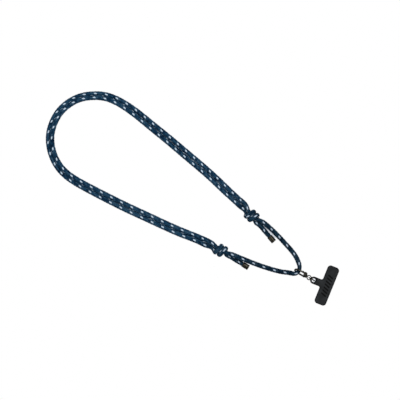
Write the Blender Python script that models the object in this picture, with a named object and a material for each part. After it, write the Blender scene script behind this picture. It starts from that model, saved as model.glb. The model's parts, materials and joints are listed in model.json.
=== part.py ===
"""Rope phone strap: a doubled neck loop of rope with two sliding knots, a trigger hook and a phone tab.

It lies flat on z = 0. +Y points from the phone tab to the far end of the neck loop. Units are metres.
The rope is one length: cap, tail, two wraps, inner strand round the loop, through the lower knot,
lower arm, bight in the hook, upper arm, through the upper knot, outer strand, two wraps, tail, cap.
"""

import math

import bmesh
import bpy
import numpy as np
from mathutils import Matrix, Vector

# Rope
ROPE_DIAMETER = 0.006
ROPE_IN_HOOK = 0.0052
CLEARANCE = 0.0003
BUTT_GAP = 0.0009
ROPE_POINTS = 78
ROPE_SPACING = 0.060
ROPE_TURN = math.radians(14)
ROPE_BEVEL = 3

# Sliding knots: two wraps round the strand that runs through
CORE_DIAMETER = 0.0046
WRAP_THICKNESS = 0.0049
WRAP_WIDTH = 0.0058
WRAP_PITCH = 0.0062
WRAP_ACROSS = 0.0059
WRAP_OFFSET = -0.0003
UPPER_WRAPS = (math.radians(-60), math.radians(622))
LOWER_WRAPS = (math.radians(-25), math.radians(605))
WRAP_STEP = math.radians(40)
WRAP_MIDDLE = math.radians(265)
WRAP_SIDES = 10
WRAP_SPACING = 0.020
WRAP_TURN = math.radians(24)
UPPER_KNOT = (0.0168, -0.0723)
UPPER_HEADING = math.radians(-104)
LOWER_KNOT = (-0.0412, -0.0597)
LOWER_HEADING = math.radians(-90)

# End caps, crimped on the rope's narrowed ends
CAP_LENGTH = 0.0087
CAP_WALL = 0.0005
CAP_END = 0.0010
CAP_ROUNDING = 0.0008
ROPE_IN_CAP = 0.0054
TAIL_IN_CAP = 0.0060
CAP_SIDES = 20

# Trigger hook
HOOK_AXIS = (-0.0152, 0.0060)
HOOK_ROLL = math.radians(66)
HOOK_WIRE = 0.0022
HOOK_INNER_WIDTH = 0.0082
HOOK_INNER_LENGTH = 0.0130
BIGHT_PLAY = 0.0011
BASE_LENGTH = 0.0027
BASE_THICKNESS = 0.0028
BASE_EDGE = 0.0006
BARREL_DIAMETER = 0.0052
NOSE_LIP = math.radians(14)
CHEEK = 0.0007

# Gate
GATE_THICKNESS = 0.0015
GATE_WIDTH = 0.0019
GATE_KNUCKLE = 0.0027
GATE_PIN = 0.0011
THUMB_HEIGHT = 0.0016
THUMB_LENGTH = 0.0030

# Swivel eye and jump ring
POST_DIAMETER = 0.0018
POST_HEAD = 0.0034
POST_HEAD_LENGTH = 0.0009
EYE_WIRE = 0.0013
EYE_HOLE = 0.0040
RING_WIRE = 0.0015
RING_OUTER = 0.0096
TAB_ON_RING = 0.76

# Phone tab
TAB_THICKNESS = 0.0010
TAB_BAR_LENGTH = 0.0520
TAB_BAR_WIDTH = 0.0156
TAB_HEIGHT = 0.0310
TAB_STEM_WIDTH = 0.0095
TAB_HOLE = 0.0050
TAB_CORNER = 0.0042
TAB_FILLET = 0.0020
TAB_TURN = math.radians(8.0)
TAB_LIFT = 0.0028
TAB_BENDS = 5
TAB_CURL = 1.4

# Middle of the doubled run, from the upper knot round to the lower one: x, y, spread of the strands
RUN = (
    (0.0238, -0.0492, 0.0063),
    (0.0281, -0.0298, 0.0064),
    (0.0341, -0.0049, 0.0065),
    (0.0391, 0.0202, 0.0066),
    (0.0436, 0.0454, 0.0066),
    (0.0481, 0.0705, 0.0065),
    (0.0521, 0.0957, 0.0064),
    (0.0561, 0.1209, 0.0062),
    (0.0575, 0.1361, 0.0060),
    (0.0574, 0.1516, 0.0057),
    (0.0544, 0.1666, 0.0055),
    (0.0474, 0.1804, 0.0054),
    (0.0376, 0.1923, 0.0053),
    (0.0248, 0.2009, 0.0053),
    (0.0101, 0.2058, 0.0053),
    (-0.0053, 0.2062, 0.0053),
    (-0.0205, 0.2026, 0.0053),
    (-0.0339, 0.1948, 0.0053),
    (-0.0448, 0.1838, 0.0054),
    (-0.0526, 0.1705, 0.0055),
    (-0.0565, 0.1556, 0.0057),
    (-0.0574, 0.1401, 0.0059),
    (-0.0569, 0.1198, 0.0061),
    (-0.0557, 0.0942, 0.0063),
    (-0.0540, 0.0687, 0.0064),
    (-0.0517, 0.0433, 0.0064),
    (-0.0494, 0.0178, 0.0063),
    (-0.0465, -0.0075, 0.0063),
    (-0.0430, -0.0324, 0.0063),
)

# The two arms from knot to hook, the bight in the hook and the tails: x, y, lift off the floor
UPPER_ARM = (
    (0.0167, -0.0880, 0.0038),
    (0.0144, -0.1024, 0.0006),
    (0.0108, -0.1162, 0.0000),
    (0.0064, -0.1301, 0.0000),
    (0.0016, -0.1435, 0.0003),
    (-0.0051, -0.1540, 0.0016),
)
BIGHT = (
    (-0.0101, -0.1583, 0.0024),
    (-0.0150, -0.1595, 0.0026),
    (-0.0195, -0.1575, 0.0028),
)
LOWER_ARM = (
    (-0.0388, -0.0745, 0.0056),
    (-0.0369, -0.0879, 0.0054),
    (-0.0354, -0.0995, 0.0038),
    (-0.0340, -0.1090, 0.0016),
    (-0.0319, -0.1202, 0.0002),
    (-0.0293, -0.1313, 0.0000),
    (-0.0259, -0.1424, 0.0004),
    (-0.0218, -0.1524, 0.0019),
)
UPPER_TAIL = (
    (0.0113, -0.0862, 0.0001),
    (0.0083, -0.0959, 0.0003),
    (0.0050, -0.1055, 0.0006),
    (0.0030, -0.1112, 0.0006),
)
LOWER_TAIL = (
    (-0.0426, -0.0850, 0.0002),
    (-0.0427, -0.0930, 0.0006),
    (-0.0429, -0.0995, 0.0006),
)

# Where the strands run at each knot: along its heading, across it, above its axis
UPPER_APPROACH = ((-0.0190, 0.0046, -0.0029), (-0.0135, 0.0039, -0.0006))
LOWER_APPROACH = ((-0.0200, 0.0021, -0.0023), (-0.0140, 0.0023, -0.0008))
UPPER_CORE = (
    (-0.0085, 0.0020, 0.0001),
    (-0.0040, 0.0006, 0.0),
    (0.0, 0.0001, 0.0),
    (0.0062, 0.0004, 0.0),
    (0.0102, 0.0022, 0.0002),
)
LOWER_CORE = (
    (-0.0085, 0.0015, 0.0),
    (-0.0040, 0.0004, 0.0),
    (0.0, 0.0001, 0.0),
    (0.0055, 0.0003, 0.0001),
    (0.0095, 0.0013, 0.0006),
)
UPPER_LEAD = (-0.0175, -0.0017, -0.0045)
LOWER_LEAD = (-0.0175, -0.0039, -0.0045)
UPPER_ENTRY = (-0.0106, -0.0010, -0.0045)
LOWER_ENTRY = (-0.0102, -0.0027, -0.0045)
UPPER_EXIT = ((0.0102, -0.0024, -0.0046),)
LOWER_EXIT = ((0.0102, -0.0012, -0.0046), (0.0140, -0.0012, -0.0045))

FLOOR_GAP = 0.0001
END_RING = 0.0004
BAR_SIDES = 10
RING_SEAT = 0.0003
RAIL = (HOOK_INNER_WIDTH + HOOK_WIRE) / 2
BASE_Y = BIGHT[1][1] + ROPE_IN_HOOK / 2 + BIGHT_PLAY - HOOK_INNER_LENGTH
PIVOT_E = RAIL - 0.0008
PIVOT_T = 0.0012
TAB_HOLE_Y = TAB_HEIGHT - TAB_BAR_WIDTH / 2 - TAB_STEM_WIDTH / 2
WRAP_RADIUS = CORE_DIAMETER / 2 + CLEARANCE + WRAP_THICKNESS / 2
KNOT_AXIS_HEIGHT = WRAP_RADIUS + WRAP_THICKNESS / 2 + FLOOR_GAP
ROPE_RADIUS = ROPE_DIAMETER / 2
UP = Vector((0, 0, 1))


def material(name, colour, roughness, metallic=0.0):
    """Principled material of one colour."""
    finish = bpy.data.materials.new(name)
    finish.use_nodes = True
    shader = finish.node_tree.nodes["Principled BSDF"]
    shader.inputs["Base Color"].default_value = (*colour, 1)
    shader.inputs["Roughness"].default_value = roughness
    shader.inputs["Metallic"].default_value = metallic
    return finish


def mesh_object(name, verts, faces, finish, smooth=True):
    """Object from a list of corners and faces, with its normals pointing out."""
    mesh = bpy.data.meshes.new(name)
    mesh.from_pydata([tuple(v) for v in verts], [], faces)
    work = bmesh.new()
    work.from_mesh(mesh)
    bmesh.ops.recalc_face_normals(work, faces=work.faces)
    work.to_mesh(mesh)
    work.free()
    if smooth:
        mesh.shade_smooth()
        mesh.set_sharp_from_angle(angle=math.radians(35))
    mesh.materials.append(finish)
    obj = bpy.data.objects.new(name, mesh)
    bpy.context.scene.collection.objects.link(obj)
    return obj


def cut(target, tool, operation="DIFFERENCE"):
    """Boolean of target with tool, which stays in the file as a hidden guide."""
    tool.hide_render = True
    tool.display_type = "WIRE"
    step = target.modifiers.new(tool.name, "BOOLEAN")
    step.operation = operation
    step.object = tool
    step.solver = "EXACT"


def spline(points, stations):
    """Natural cubic curve through points, read at stations of its chord length."""
    points = np.asarray(points, dtype=float)
    chord = np.concatenate([[0.0], np.cumsum(np.linalg.norm(np.diff(points, axis=0), axis=1))])
    step = np.diff(chord)
    count = len(points)
    system = np.eye(count)
    right = np.zeros_like(points)
    slope = np.diff(points, axis=0) / step[:, None]
    for row in range(1, count - 1):
        system[row, row - 1] = step[row - 1]
        system[row, row] = 2 * (step[row - 1] + step[row])
        system[row, row + 1] = step[row]
        right[row] = 6 * (slope[row] - slope[row - 1])
    bend = np.linalg.solve(system, right)
    piece = np.clip(np.searchsorted(chord, stations, side="right") - 1, 0, count - 2)
    width = step[piece][:, None]
    ahead = (chord[piece + 1] - stations)[:, None]
    behind = (stations - chord[piece])[:, None]
    return (
        bend[piece] * ahead**3 / (6 * width)
        + bend[piece + 1] * behind**3 / (6 * width)
        + (points[piece] / width - bend[piece] * width / 6) * ahead
        + (points[piece + 1] / width - bend[piece + 1] * width / 6) * behind
    )


def knot_point(knot, heading, along, across, above):
    """Point of a knot's own frame: along its heading, across to its right side, above its axis."""
    way = Vector((math.cos(heading), math.sin(heading), 0))
    side = UP.cross(way)
    return Vector((knot[0], knot[1], KNOT_AXIS_HEIGHT)) + way * along + side * across + UP * above


def wrap_points(knot, heading, wraps):
    """Two wraps as an oval helix round the knot's axis, rising on the side of the free tail."""
    count = round((wraps[1] - wraps[0]) / WRAP_STEP) + 1
    points = []
    for angle in np.linspace(*wraps, count):
        along = (angle - WRAP_MIDDLE) / (2 * math.pi) * WRAP_PITCH
        across = WRAP_OFFSET - WRAP_ACROSS * math.cos(angle)
        above = WRAP_RADIUS * math.sin(angle)
        points.append(knot_point(knot, heading, along, across, above))
    return points


def run_points(side):
    """One strand of the doubled run: side 1 is the inner strand, which rides on the outer one."""
    middle = np.array([row[:2] for row in RUN])
    spread = np.array([row[2] for row in RUN])
    ahead = np.gradient(middle, axis=0)
    ahead /= np.linalg.norm(ahead, axis=1)[:, None]
    left = np.column_stack([-ahead[:, 1], ahead[:, 0]])
    place = middle + left * (side * spread / 2)[:, None]
    pitch = ROPE_DIAMETER + CLEARANCE
    ride = np.sqrt(np.clip(pitch**2 - spread**2, 0, None)) if side > 0 else np.zeros(len(RUN))
    return [Vector((x, y, ROPE_RADIUS + lift)) for (x, y), lift in zip(place, ride)]


def floor_points(rows):
    """Points of a stretch that is given as x, y and lift off the floor."""
    return [Vector((x, y, ROPE_RADIUS + lift)) for x, y, lift in rows]


def rope_route():
    """Points of the whole rope from cap to cap, each with its thickness and width."""
    upper = (UPPER_KNOT, UPPER_HEADING)
    lower = (LOWER_KNOT, LOWER_HEADING)
    plain = (ROPE_DIAMETER, ROPE_DIAMETER)
    core = (CORE_DIAMETER, CORE_DIAMETER)
    wrap = (WRAP_THICKNESS, WRAP_WIDTH)
    end = (ROPE_IN_CAP, ROPE_IN_CAP)
    hooked = (ROPE_IN_HOOK, ROPE_IN_HOOK)
    parts = (
        ("upper tail end", floor_points(UPPER_TAIL[-2:])[::-1], end),
        ("upper tail", floor_points(UPPER_TAIL[:-2])[::-1], plain),
        ("upper exit", [knot_point(*upper, *row) for row in UPPER_EXIT[::-1]], plain),
        ("upper wraps", wrap_points(*upper, UPPER_WRAPS)[::-1], wrap),
        ("upper entry", [knot_point(*upper, *UPPER_ENTRY)], plain),
        ("upper lead", [knot_point(*upper, *UPPER_LEAD)], plain),
        ("inner strand", run_points(1), plain),
        ("lower approach", [knot_point(*lower, *row) for row in LOWER_APPROACH], plain),
        ("lower core", [knot_point(*lower, *row) for row in LOWER_CORE], core),
        ("lower arm", floor_points(LOWER_ARM), plain),
        ("bight", floor_points(BIGHT)[::-1], hooked),
        ("upper arm", floor_points(UPPER_ARM)[::-1], plain),
        ("upper core", [knot_point(*upper, *row) for row in UPPER_CORE[::-1]], core),
        ("upper approach", [knot_point(*upper, *row) for row in UPPER_APPROACH[::-1]], plain),
        ("outer strand", run_points(-1), plain),
        ("lower lead", [knot_point(*lower, *LOWER_LEAD)], plain),
        ("lower entry", [knot_point(*lower, *LOWER_ENTRY)], plain),
        ("lower wraps", wrap_points(*lower, LOWER_WRAPS), wrap),
        ("lower exit", [knot_point(*lower, *row) for row in LOWER_EXIT], plain),
        ("lower tail", floor_points(LOWER_TAIL[:-2]), plain),
        ("lower tail end", floor_points(LOWER_TAIL[-2:]), end),
    )
    points = []
    sections = []
    starts = {}
    for name, places, section in parts:
        starts[name] = len(points)
        points.extend(places)
        sections.extend([section] * len(places))
    return np.array([tuple(p) for p in points]), np.array(sections), starts


def rope_stretch(first, last, step_length, step_turn, most=None):
    """Centres and sections of the rope between two stations, closer together where it turns."""
    points, sections, _ = rope_route()
    chord = chord_stations(points)
    fine = np.linspace(first, last, 1200)
    line = spline(points, fine)
    ahead = np.diff(line, axis=0)
    length = np.linalg.norm(ahead, axis=1)
    ahead /= length[:, None]
    turn = np.arccos(np.clip((ahead[1:] * ahead[:-1]).sum(axis=1), -1, 1))
    effort = length / step_length
    effort[1:] += turn / step_turn
    effort = np.concatenate([[0.0], np.cumsum(effort)])
    count = math.ceil(effort[-1]) + 1
    if most:
        count = min(count, most - 2)
    stations = np.interp(np.linspace(0, effort[-1], count), effort, fine)
    stations = np.insert(stations, (1, count - 1), (first + END_RING, last - END_RING))
    centres = spline(points, stations)
    section = np.column_stack([np.interp(stations, chord, column) for column in sections.T])
    centres[:, 2] = np.maximum(centres[:, 2], section[:, 0] / 2 + FLOOR_GAP)
    return centres, section


def chord_stations(points):
    """Distance along the straight lines between points."""
    return np.concatenate([[0.0], np.cumsum(np.linalg.norm(np.diff(points, axis=0), axis=1))])


def make_rope(finish):
    """The rope from the upper knot's wraps round the loop and back to the lower knot's wraps."""
    points, _, starts = rope_route()
    chord = chord_stations(points)
    first = chord[starts["upper entry"]] + BUTT_GAP / 2
    last = chord[starts["lower entry"]] - BUTT_GAP / 2
    centres, section = rope_stretch(first, last, ROPE_SPACING, ROPE_TURN, ROPE_POINTS)
    curve = bpy.data.curves.new("rope", "CURVE")
    curve.dimensions = "3D"
    curve.bevel_depth = ROPE_RADIUS
    curve.bevel_resolution = ROPE_BEVEL
    curve.resolution_u = 1
    curve.render_resolution_u = 0
    curve.use_fill_caps = True
    curve.twist_mode = "MINIMUM"
    line = curve.splines.new("POLY")
    line.points.add(len(centres) - 1)
    for point, centre, (thickness, _) in zip(line.points, centres, section):
        point.co = (*centre, 1)
        point.radius = thickness / ROPE_DIAMETER
    curve.materials.append(finish)
    rope = bpy.data.objects.new("rope", curve)
    bpy.context.scene.collection.objects.link(rope)


def make_knot(name, finish, first, last, knot, heading):
    """Two wraps and the free tail: an oval section swept along the rope between two stations."""
    centres, section = rope_stretch(first, last, WRAP_SPACING, WRAP_TURN)
    count = len(centres)
    ahead = np.gradient(centres, axis=0)
    ahead /= np.linalg.norm(ahead, axis=1)[:, None]
    way = np.array([math.cos(heading), math.sin(heading), 0.0])
    from_axis = centres - np.array([knot[0], knot[1], KNOT_AXIS_HEIGHT])
    outward = from_axis - np.outer(from_axis @ way, way)
    outward -= (outward * ahead).sum(axis=1)[:, None] * ahead
    outward /= np.linalg.norm(outward, axis=1)[:, None]
    right = np.cross(ahead, outward)
    angle = np.linspace(0, 2 * math.pi, WRAP_SIDES, endpoint=False)
    rings = (
        centres[:, None]
        + outward[:, None] * (np.cos(angle)[:, None] * section[:, None, :1] / 2)
        + right[:, None] * (np.sin(angle)[:, None] * section[:, None, 1:] / 2)
    )
    faces = []
    for row in range(count - 1):
        for side in range(WRAP_SIDES):
            after = (side + 1) % WRAP_SIDES
            here = row * WRAP_SIDES
            there = here + WRAP_SIDES
            faces.append((here + side, here + after, there + after, there + side))
    faces.append(tuple(range(WRAP_SIDES)))
    faces.append(tuple(range((count - 1) * WRAP_SIDES, count * WRAP_SIDES)))
    mesh_object(name, rings.reshape(-1, 3), faces, finish)


def turned(name, profile, sides, finish, closed=False):
    """Solid turned round the local Z axis from (radius, height) pairs; closed joins last to first."""
    work = bmesh.new()
    verts = [work.verts.new((radius, 0, height)) for radius, height in profile]
    for one, other in zip(verts, verts[1:]):
        work.edges.new((one, other))
    if closed:
        work.edges.new((verts[-1], verts[0]))
    bmesh.ops.spin(
        work,
        geom=work.verts[:] + work.edges[:],
        axis=(0, 0, 1),
        cent=(0, 0, 0),
        steps=sides,
        angle=2 * math.pi,
        use_merge=True,
    )
    bmesh.ops.remove_doubles(work, verts=work.verts, dist=0.00001)
    bmesh.ops.recalc_face_normals(work, faces=work.faces)
    mesh = bpy.data.meshes.new(name)
    work.to_mesh(mesh)
    work.free()
    mesh.shade_smooth()
    mesh.set_sharp_from_angle(angle=math.radians(35))
    mesh.materials.append(finish)
    obj = bpy.data.objects.new(name, mesh)
    bpy.context.scene.collection.objects.link(obj)
    return obj


def prism(name, outline, low, high, finish):
    """Solid raised from a flat outline, given counter-clockwise, between two heights."""
    count = len(outline)
    verts = [(x, y, low) for x, y in outline] + [(x, y, high) for x, y in outline]
    faces = [tuple(range(count))[::-1], tuple(range(count, 2 * count))]
    for corner in range(count):
        after = (corner + 1) % count
        faces.append((corner, after, after + count, corner + count))
    return mesh_object(name, verts, faces, finish)


def arc(centre, radius, start, end, steps):
    """Points of an arc from one angle to another, both in degrees."""
    angles = np.radians(np.linspace(start, end, steps + 1))
    return [(centre[0] + radius * math.cos(a), centre[1] + radius * math.sin(a)) for a in angles]


def rod(name, radius, low, high, sides, finish):
    """Plain round bar along the local Z axis."""
    return turned(name, ((0, low), (radius, low), (radius, high), (0, high)), sides, finish)


def make_cap(name, tail, finish):
    """Turned metal cup over the end of a tail, open towards the knot."""
    end, before = tail[-1], tail[-2]
    way = (end - before).normalized()
    bore = ROPE_IN_CAP / 2 + CLEARANCE
    outer = bore + CAP_WALL
    floor = CAP_LENGTH - CAP_END
    profile = (
        (0, floor),
        (bore, floor),
        (bore, 0),
        (outer, 0),
        (outer, CAP_LENGTH - CAP_ROUNDING),
        (outer - CAP_ROUNDING * 0.4, CAP_LENGTH - CAP_ROUNDING * 0.35),
        (outer - CAP_ROUNDING, CAP_LENGTH),
        (0, CAP_LENGTH),
    )
    cap = turned(name, profile, CAP_SIDES, finish)
    cap.rotation_euler = way.to_track_quat("Z", "Y").to_euler()
    cap.location = end - way * TAIL_IN_CAP


def hook_frame():
    """Frame of the hook: X across its opening towards the gate, Y towards its nose, Z out of its plane."""
    across = Vector((math.cos(HOOK_ROLL), 0, math.sin(HOOK_ROLL)))
    nose = Vector((0, 1, 0))
    frame = Matrix((across, nose, across.cross(nose))).transposed().to_4x4()
    frame.translation = Vector((HOOK_AXIS[0], BASE_Y, HOOK_AXIS[1]))
    return frame


def hook_loop(finish):
    """Round bar up the spine and over the nose, as a swept mesh in the hook's frame."""
    centre = HOOK_INNER_LENGTH + HOOK_WIRE / 2 - RAIL
    line = [(-RAIL, -BASE_EDGE), (-RAIL, centre * 0.5)]
    line += arc((0, centre), RAIL, 180, math.degrees(NOSE_LIP), 12)
    line = np.array(line)
    ahead = np.gradient(line, axis=0)
    ahead /= np.linalg.norm(ahead, axis=1)[:, None]
    angle = np.linspace(0, 2 * math.pi, BAR_SIDES, endpoint=False)
    verts = []
    for (x, y), (ax, ay) in zip(line, ahead):
        for a in angle:
            out = math.cos(a) * HOOK_WIRE / 2
            verts.append((x - ay * out, y + ax * out, math.sin(a) * HOOK_WIRE / 2))
    faces = []
    for row in range(len(line) - 1):
        for side in range(BAR_SIDES):
            after = (side + 1) % BAR_SIDES
            here = row * BAR_SIDES
            there = here + BAR_SIDES
            faces.append((here + side, here + after, there + after, there + side))
    faces.append(tuple(range(BAR_SIDES)))
    faces.append(tuple(range((len(line) - 1) * BAR_SIDES, len(line) * BAR_SIDES)))
    return mesh_object("hook_loop", verts, faces, finish)


def make_hook(finish):
    """Hook body: base with a barrel for the swivel and a fork for the gate, and the bar over the nose."""
    frame = hook_frame()
    half = RAIL + HOOK_WIRE / 2 - BASE_EDGE
    neck = BARREL_DIAMETER / 2
    outline = [
        (-half, 0),
        (-half, -BASE_EDGE),
        (-neck, -BASE_LENGTH),
        (neck, -BASE_LENGTH),
        (half, -BASE_EDGE),
        (half, 0),
    ]
    base = prism("hook_body", outline, -BASE_THICKNESS / 2, BASE_THICKNESS / 2, finish)
    base.matrix_world = frame
    turn = frame @ Matrix.Rotation(math.radians(90), 4, "X")

    barrel = rod("barrel", neck, 0.0001, BASE_LENGTH + 0.0002, 20, finish)
    barrel.matrix_world = turn
    loop = hook_loop(finish)
    loop.matrix_world = frame
    slot = GATE_WIDTH / 2 + CLEARANCE
    fork_low = RAIL - GATE_KNUCKLE / 2 - 0.0012
    fork_high = PIVOT_T + GATE_KNUCKLE / 2 - 0.0004
    fork_outline = (
        (fork_low, -BASE_EDGE * 2),
        (RAIL + 0.0009, -BASE_EDGE * 2),
        (RAIL + 0.0009, fork_high),
        (fork_low + 0.0004, fork_high),
    )
    fork = prism("fork", fork_outline, -slot - CHEEK, slot + CHEEK, finish)
    fork.matrix_world = frame
    for piece in (barrel, loop, fork):
        cut(base, piece, "UNION")

    slot_floor = PIVOT_T - GATE_KNUCKLE / 2 - CLEARANCE
    slot_outline = ((fork_low - 0.001, slot_floor), (RAIL + 0.003, slot_floor))
    slot_outline += ((RAIL + 0.003, 0.0060), (fork_low - 0.001, 0.0060))
    gap = prism("gate_slot", slot_outline, -slot, slot, finish)
    gap.matrix_world = frame
    bore = rod("swivel_bore", POST_DIAMETER / 2 + CLEARANCE, -0.002, BASE_LENGTH + 0.002, 16, finish)
    bore.matrix_world = turn
    reach = slot + CHEEK + 0.001
    eyelet = rod("pin_bore", GATE_PIN / 2 + CLEARANCE, -reach, reach, 12, finish)
    eyelet.matrix_world = frame @ Matrix.Translation((PIVOT_E, PIVOT_T, 0))
    for piece in (gap, bore, eyelet):
        cut(base, piece)


def make_gate(finish):
    """Sprung gate with its knuckle, pin and thumb lever; its origin is on the pin."""
    radius = GATE_KNUCKLE / 2
    outer = RAIL + HOOK_WIRE / 2 - PIVOT_E
    inner = outer - GATE_THICKNESS
    nose_centre = HOOK_INNER_LENGTH + HOOK_WIRE / 2 - RAIL
    tip = nose_centre + (RAIL - HOOK_WIRE / 2) * math.sin(NOSE_LIP) - CLEARANCE - PIVOT_T
    thumb = THUMB_LENGTH
    outline = arc((0, 0), radius, 160, 360, 8)
    outline += [
        (outer, radius),
        (outer, thumb * 0.8),
        (outer + THUMB_HEIGHT, thumb * 0.95),
        (outer + THUMB_HEIGHT, thumb * 1.25),
        (outer, thumb * 1.8),
        (outer, tip),
        (inner, tip),
        (inner, radius * 1.2),
    ]
    gate = prism("gate", outline, -GATE_WIDTH / 2, GATE_WIDTH / 2, finish)
    gate.matrix_world = hook_frame() @ Matrix.Translation((PIVOT_E, PIVOT_T, 0))
    reach = GATE_WIDTH / 2 + CLEARANCE + CHEEK
    pin = rod("gate_pin", GATE_PIN / 2, -reach, reach, 12, finish)
    pin.matrix_world = gate.matrix_world
    cut(gate, pin, "UNION")


def ring_profile(middle, wire, sides):
    """Round section of a ring, as (radius, height) pairs."""
    return arc((middle, 0), wire / 2, 0, 360 * (1 - 1 / sides), sides - 1)


def make_swivel(finish):
    """Swivel eye: a ring on a headed post that turns in the barrel."""
    middle = (EYE_HOLE + EYE_WIRE) / 2
    centre = BASE_Y - BASE_LENGTH - CLEARANCE - middle - EYE_WIRE / 2 - 0.0001
    eye = turned("swivel_eye", ring_profile(middle, EYE_WIRE, 8), 24, finish, closed=True)
    eye.location = (HOOK_AXIS[0], centre, HOOK_AXIS[1])
    foot = middle
    neck = BASE_Y - centre + CLEARANCE
    profile = (
        (0, foot),
        (POST_DIAMETER / 2, foot),
        (POST_DIAMETER / 2, neck),
        (POST_HEAD / 2, neck),
        (POST_HEAD / 2, neck + POST_HEAD_LENGTH),
        (0, neck + POST_HEAD_LENGTH),
    )
    post = turned("swivel_post", profile, 16, finish)
    post.location = eye.location
    post.rotation_euler = (math.radians(-90), 0, 0)
    cut(eye, post, "UNION")
    return centre


def make_ring(finish, eye_centre):
    """Jump ring standing on edge through the swivel eye and the hole of the tab."""
    middle = (RING_OUTER - RING_WIRE) / 2
    ring = turned("jump_ring", ring_profile(middle, RING_WIRE, 8), 28, finish, closed=True)
    height = RING_OUTER / 2 + FLOOR_GAP
    drop = HOOK_AXIS[1] - height
    ring_y = eye_centre - math.sqrt(middle**2 - drop**2) - RING_SEAT
    ring.location = (HOOK_AXIS[0], ring_y, height)
    ring.rotation_euler = (0, math.radians(90), 0)
    return ring_y - middle * TAB_ON_RING


def tab_outline():
    """T outline about the middle of its bar, counter-clockwise, with the stem towards +Y."""
    half = TAB_BAR_LENGTH / 2 - TAB_CORNER
    side = TAB_BAR_WIDTH / 2 - TAB_CORNER
    stem = TAB_STEM_WIDTH / 2
    shoulder = TAB_BAR_WIDTH / 2 + TAB_FILLET
    outline = arc((half, -side), TAB_CORNER, -90, 0, 5)
    outline += arc((half, side), TAB_CORNER, 0, 90, 5)
    outline += arc((stem + TAB_FILLET, shoulder), TAB_FILLET, 270, 180, 3)
    outline += arc((0, TAB_HOLE_Y), stem, 0, 180, 12)
    outline += arc((-stem - TAB_FILLET, shoulder), TAB_FILLET, 0, -90, 3)
    outline += arc((-half, side), TAB_CORNER, 90, 180, 5)
    outline += arc((-half, -side), TAB_CORNER, 180, 270, 5)
    return outline


def make_tab(finish, hole_y):
    """Flat T tab: its bar lies on the floor and its stem bends up to the jump ring."""
    work = bmesh.new()
    corners = [work.verts.new((x, y, 0)) for x, y in tab_outline()]
    work.faces.new(corners)
    start = TAB_BAR_WIDTH / 2
    end = TAB_HEIGHT - TAB_BAR_WIDTH / 2
    for line in np.linspace(start, end, TAB_BENDS + 1)[:-1]:
        geom = work.verts[:] + work.edges[:] + work.faces[:]
        bmesh.ops.bisect_plane(work, geom=geom, dist=1e-6, plane_co=(0, line, 0), plane_no=(0, 1, 0))
    raised = bmesh.ops.extrude_face_region(work, geom=work.faces[:])
    for vert in raised["geom"]:
        if isinstance(vert, bmesh.types.BMVert):
            vert.co.z = TAB_THICKNESS
    for vert in work.verts:
        share = min(max((vert.co.y - start) / (end - start), 0), 1)
        vert.co.z += TAB_LIFT * share**TAB_CURL
    bmesh.ops.recalc_face_normals(work, faces=work.faces)
    mesh = bpy.data.meshes.new("phone_tab")
    work.to_mesh(mesh)
    work.free()
    mesh.shade_smooth()
    mesh.set_sharp_from_angle(angle=math.radians(35))
    mesh.materials.append(finish)
    tab = bpy.data.objects.new("phone_tab", mesh)
    bpy.context.scene.collection.objects.link(tab)
    turn = Matrix.Rotation(TAB_TURN, 4, "Z")
    hole = Vector((HOOK_AXIS[0], hole_y, 0))
    tab.matrix_world = Matrix.Translation(hole) @ turn @ Matrix.Translation((0, -TAB_HOLE_Y, 0))
    tool = rod("tab_hole", TAB_HOLE / 2, -0.002, 0.008, 20, finish)
    tool.location = hole
    cut(tab, tool)


def main():
    for old in list(bpy.data.objects):
        bpy.data.objects.remove(old)
    rope = material("navy_rope", (0.02, 0.05, 0.08), 0.85)
    bronze = material("aged_brass", (0.16, 0.14, 0.12), 0.35, 1.0)
    rubber = material("tab_rubber", (0.03, 0.032, 0.035), 0.6)

    points, _, starts = rope_route()
    chord = chord_stations(points)
    half = BUTT_GAP / 2
    make_rope(rope)
    upper_entry = chord[starts["upper entry"]] - half
    lower_entry = chord[starts["lower entry"]] + half
    make_knot("knot_upper", rope, 0.0, upper_entry, UPPER_KNOT, UPPER_HEADING)
    make_knot("knot_lower", rope, lower_entry, chord[-1], LOWER_KNOT, LOWER_HEADING)
    make_cap("end_cap_upper", floor_points(UPPER_TAIL), bronze)
    make_cap("end_cap_lower", floor_points(LOWER_TAIL), bronze)
    make_hook(bronze)
    make_gate(bronze)
    eye_centre = make_swivel(bronze)
    hole_y = make_ring(bronze, eye_centre)
    make_tab(rubber, hole_y)


main()
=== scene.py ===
"""Rope phone strap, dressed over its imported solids.

Lengths are in metres in the frame of the solids: the strap lies flat on z = 0, and +Y points from the
phone tab to the far end of the neck loop. The rope is one length: cap, tail, two wraps, inner strand
round the loop, lower knot, lower arm, bight in the hook, upper arm, upper knot, outer strand, two
wraps, tail, cap.
"""

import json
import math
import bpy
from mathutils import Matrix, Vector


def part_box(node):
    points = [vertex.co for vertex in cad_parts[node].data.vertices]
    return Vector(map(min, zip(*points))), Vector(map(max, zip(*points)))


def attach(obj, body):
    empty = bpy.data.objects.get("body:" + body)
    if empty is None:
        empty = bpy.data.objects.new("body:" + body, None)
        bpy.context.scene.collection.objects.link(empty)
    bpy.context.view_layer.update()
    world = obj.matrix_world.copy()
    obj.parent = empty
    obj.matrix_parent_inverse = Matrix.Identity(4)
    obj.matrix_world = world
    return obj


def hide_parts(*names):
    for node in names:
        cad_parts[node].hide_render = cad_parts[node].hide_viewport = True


bl_info = {
    "name": "Rope Phone Strap",
    "version": (1, 0, 0),
    "blender": (4, 5, 0),
    "location": "3D View > Sidebar > Phone Strap",
    "description": "Builds a braided neck strap with sliding knots, a trigger hook and a phone tab",
    "category": "Add Mesh",
}

import bmesh
import bpy
import numpy as np
from bpy.props import FloatProperty, FloatVectorProperty, IntProperty, PointerProperty
from bpy.types import Operator, Panel, PropertyGroup
from mathutils import Vector

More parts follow.
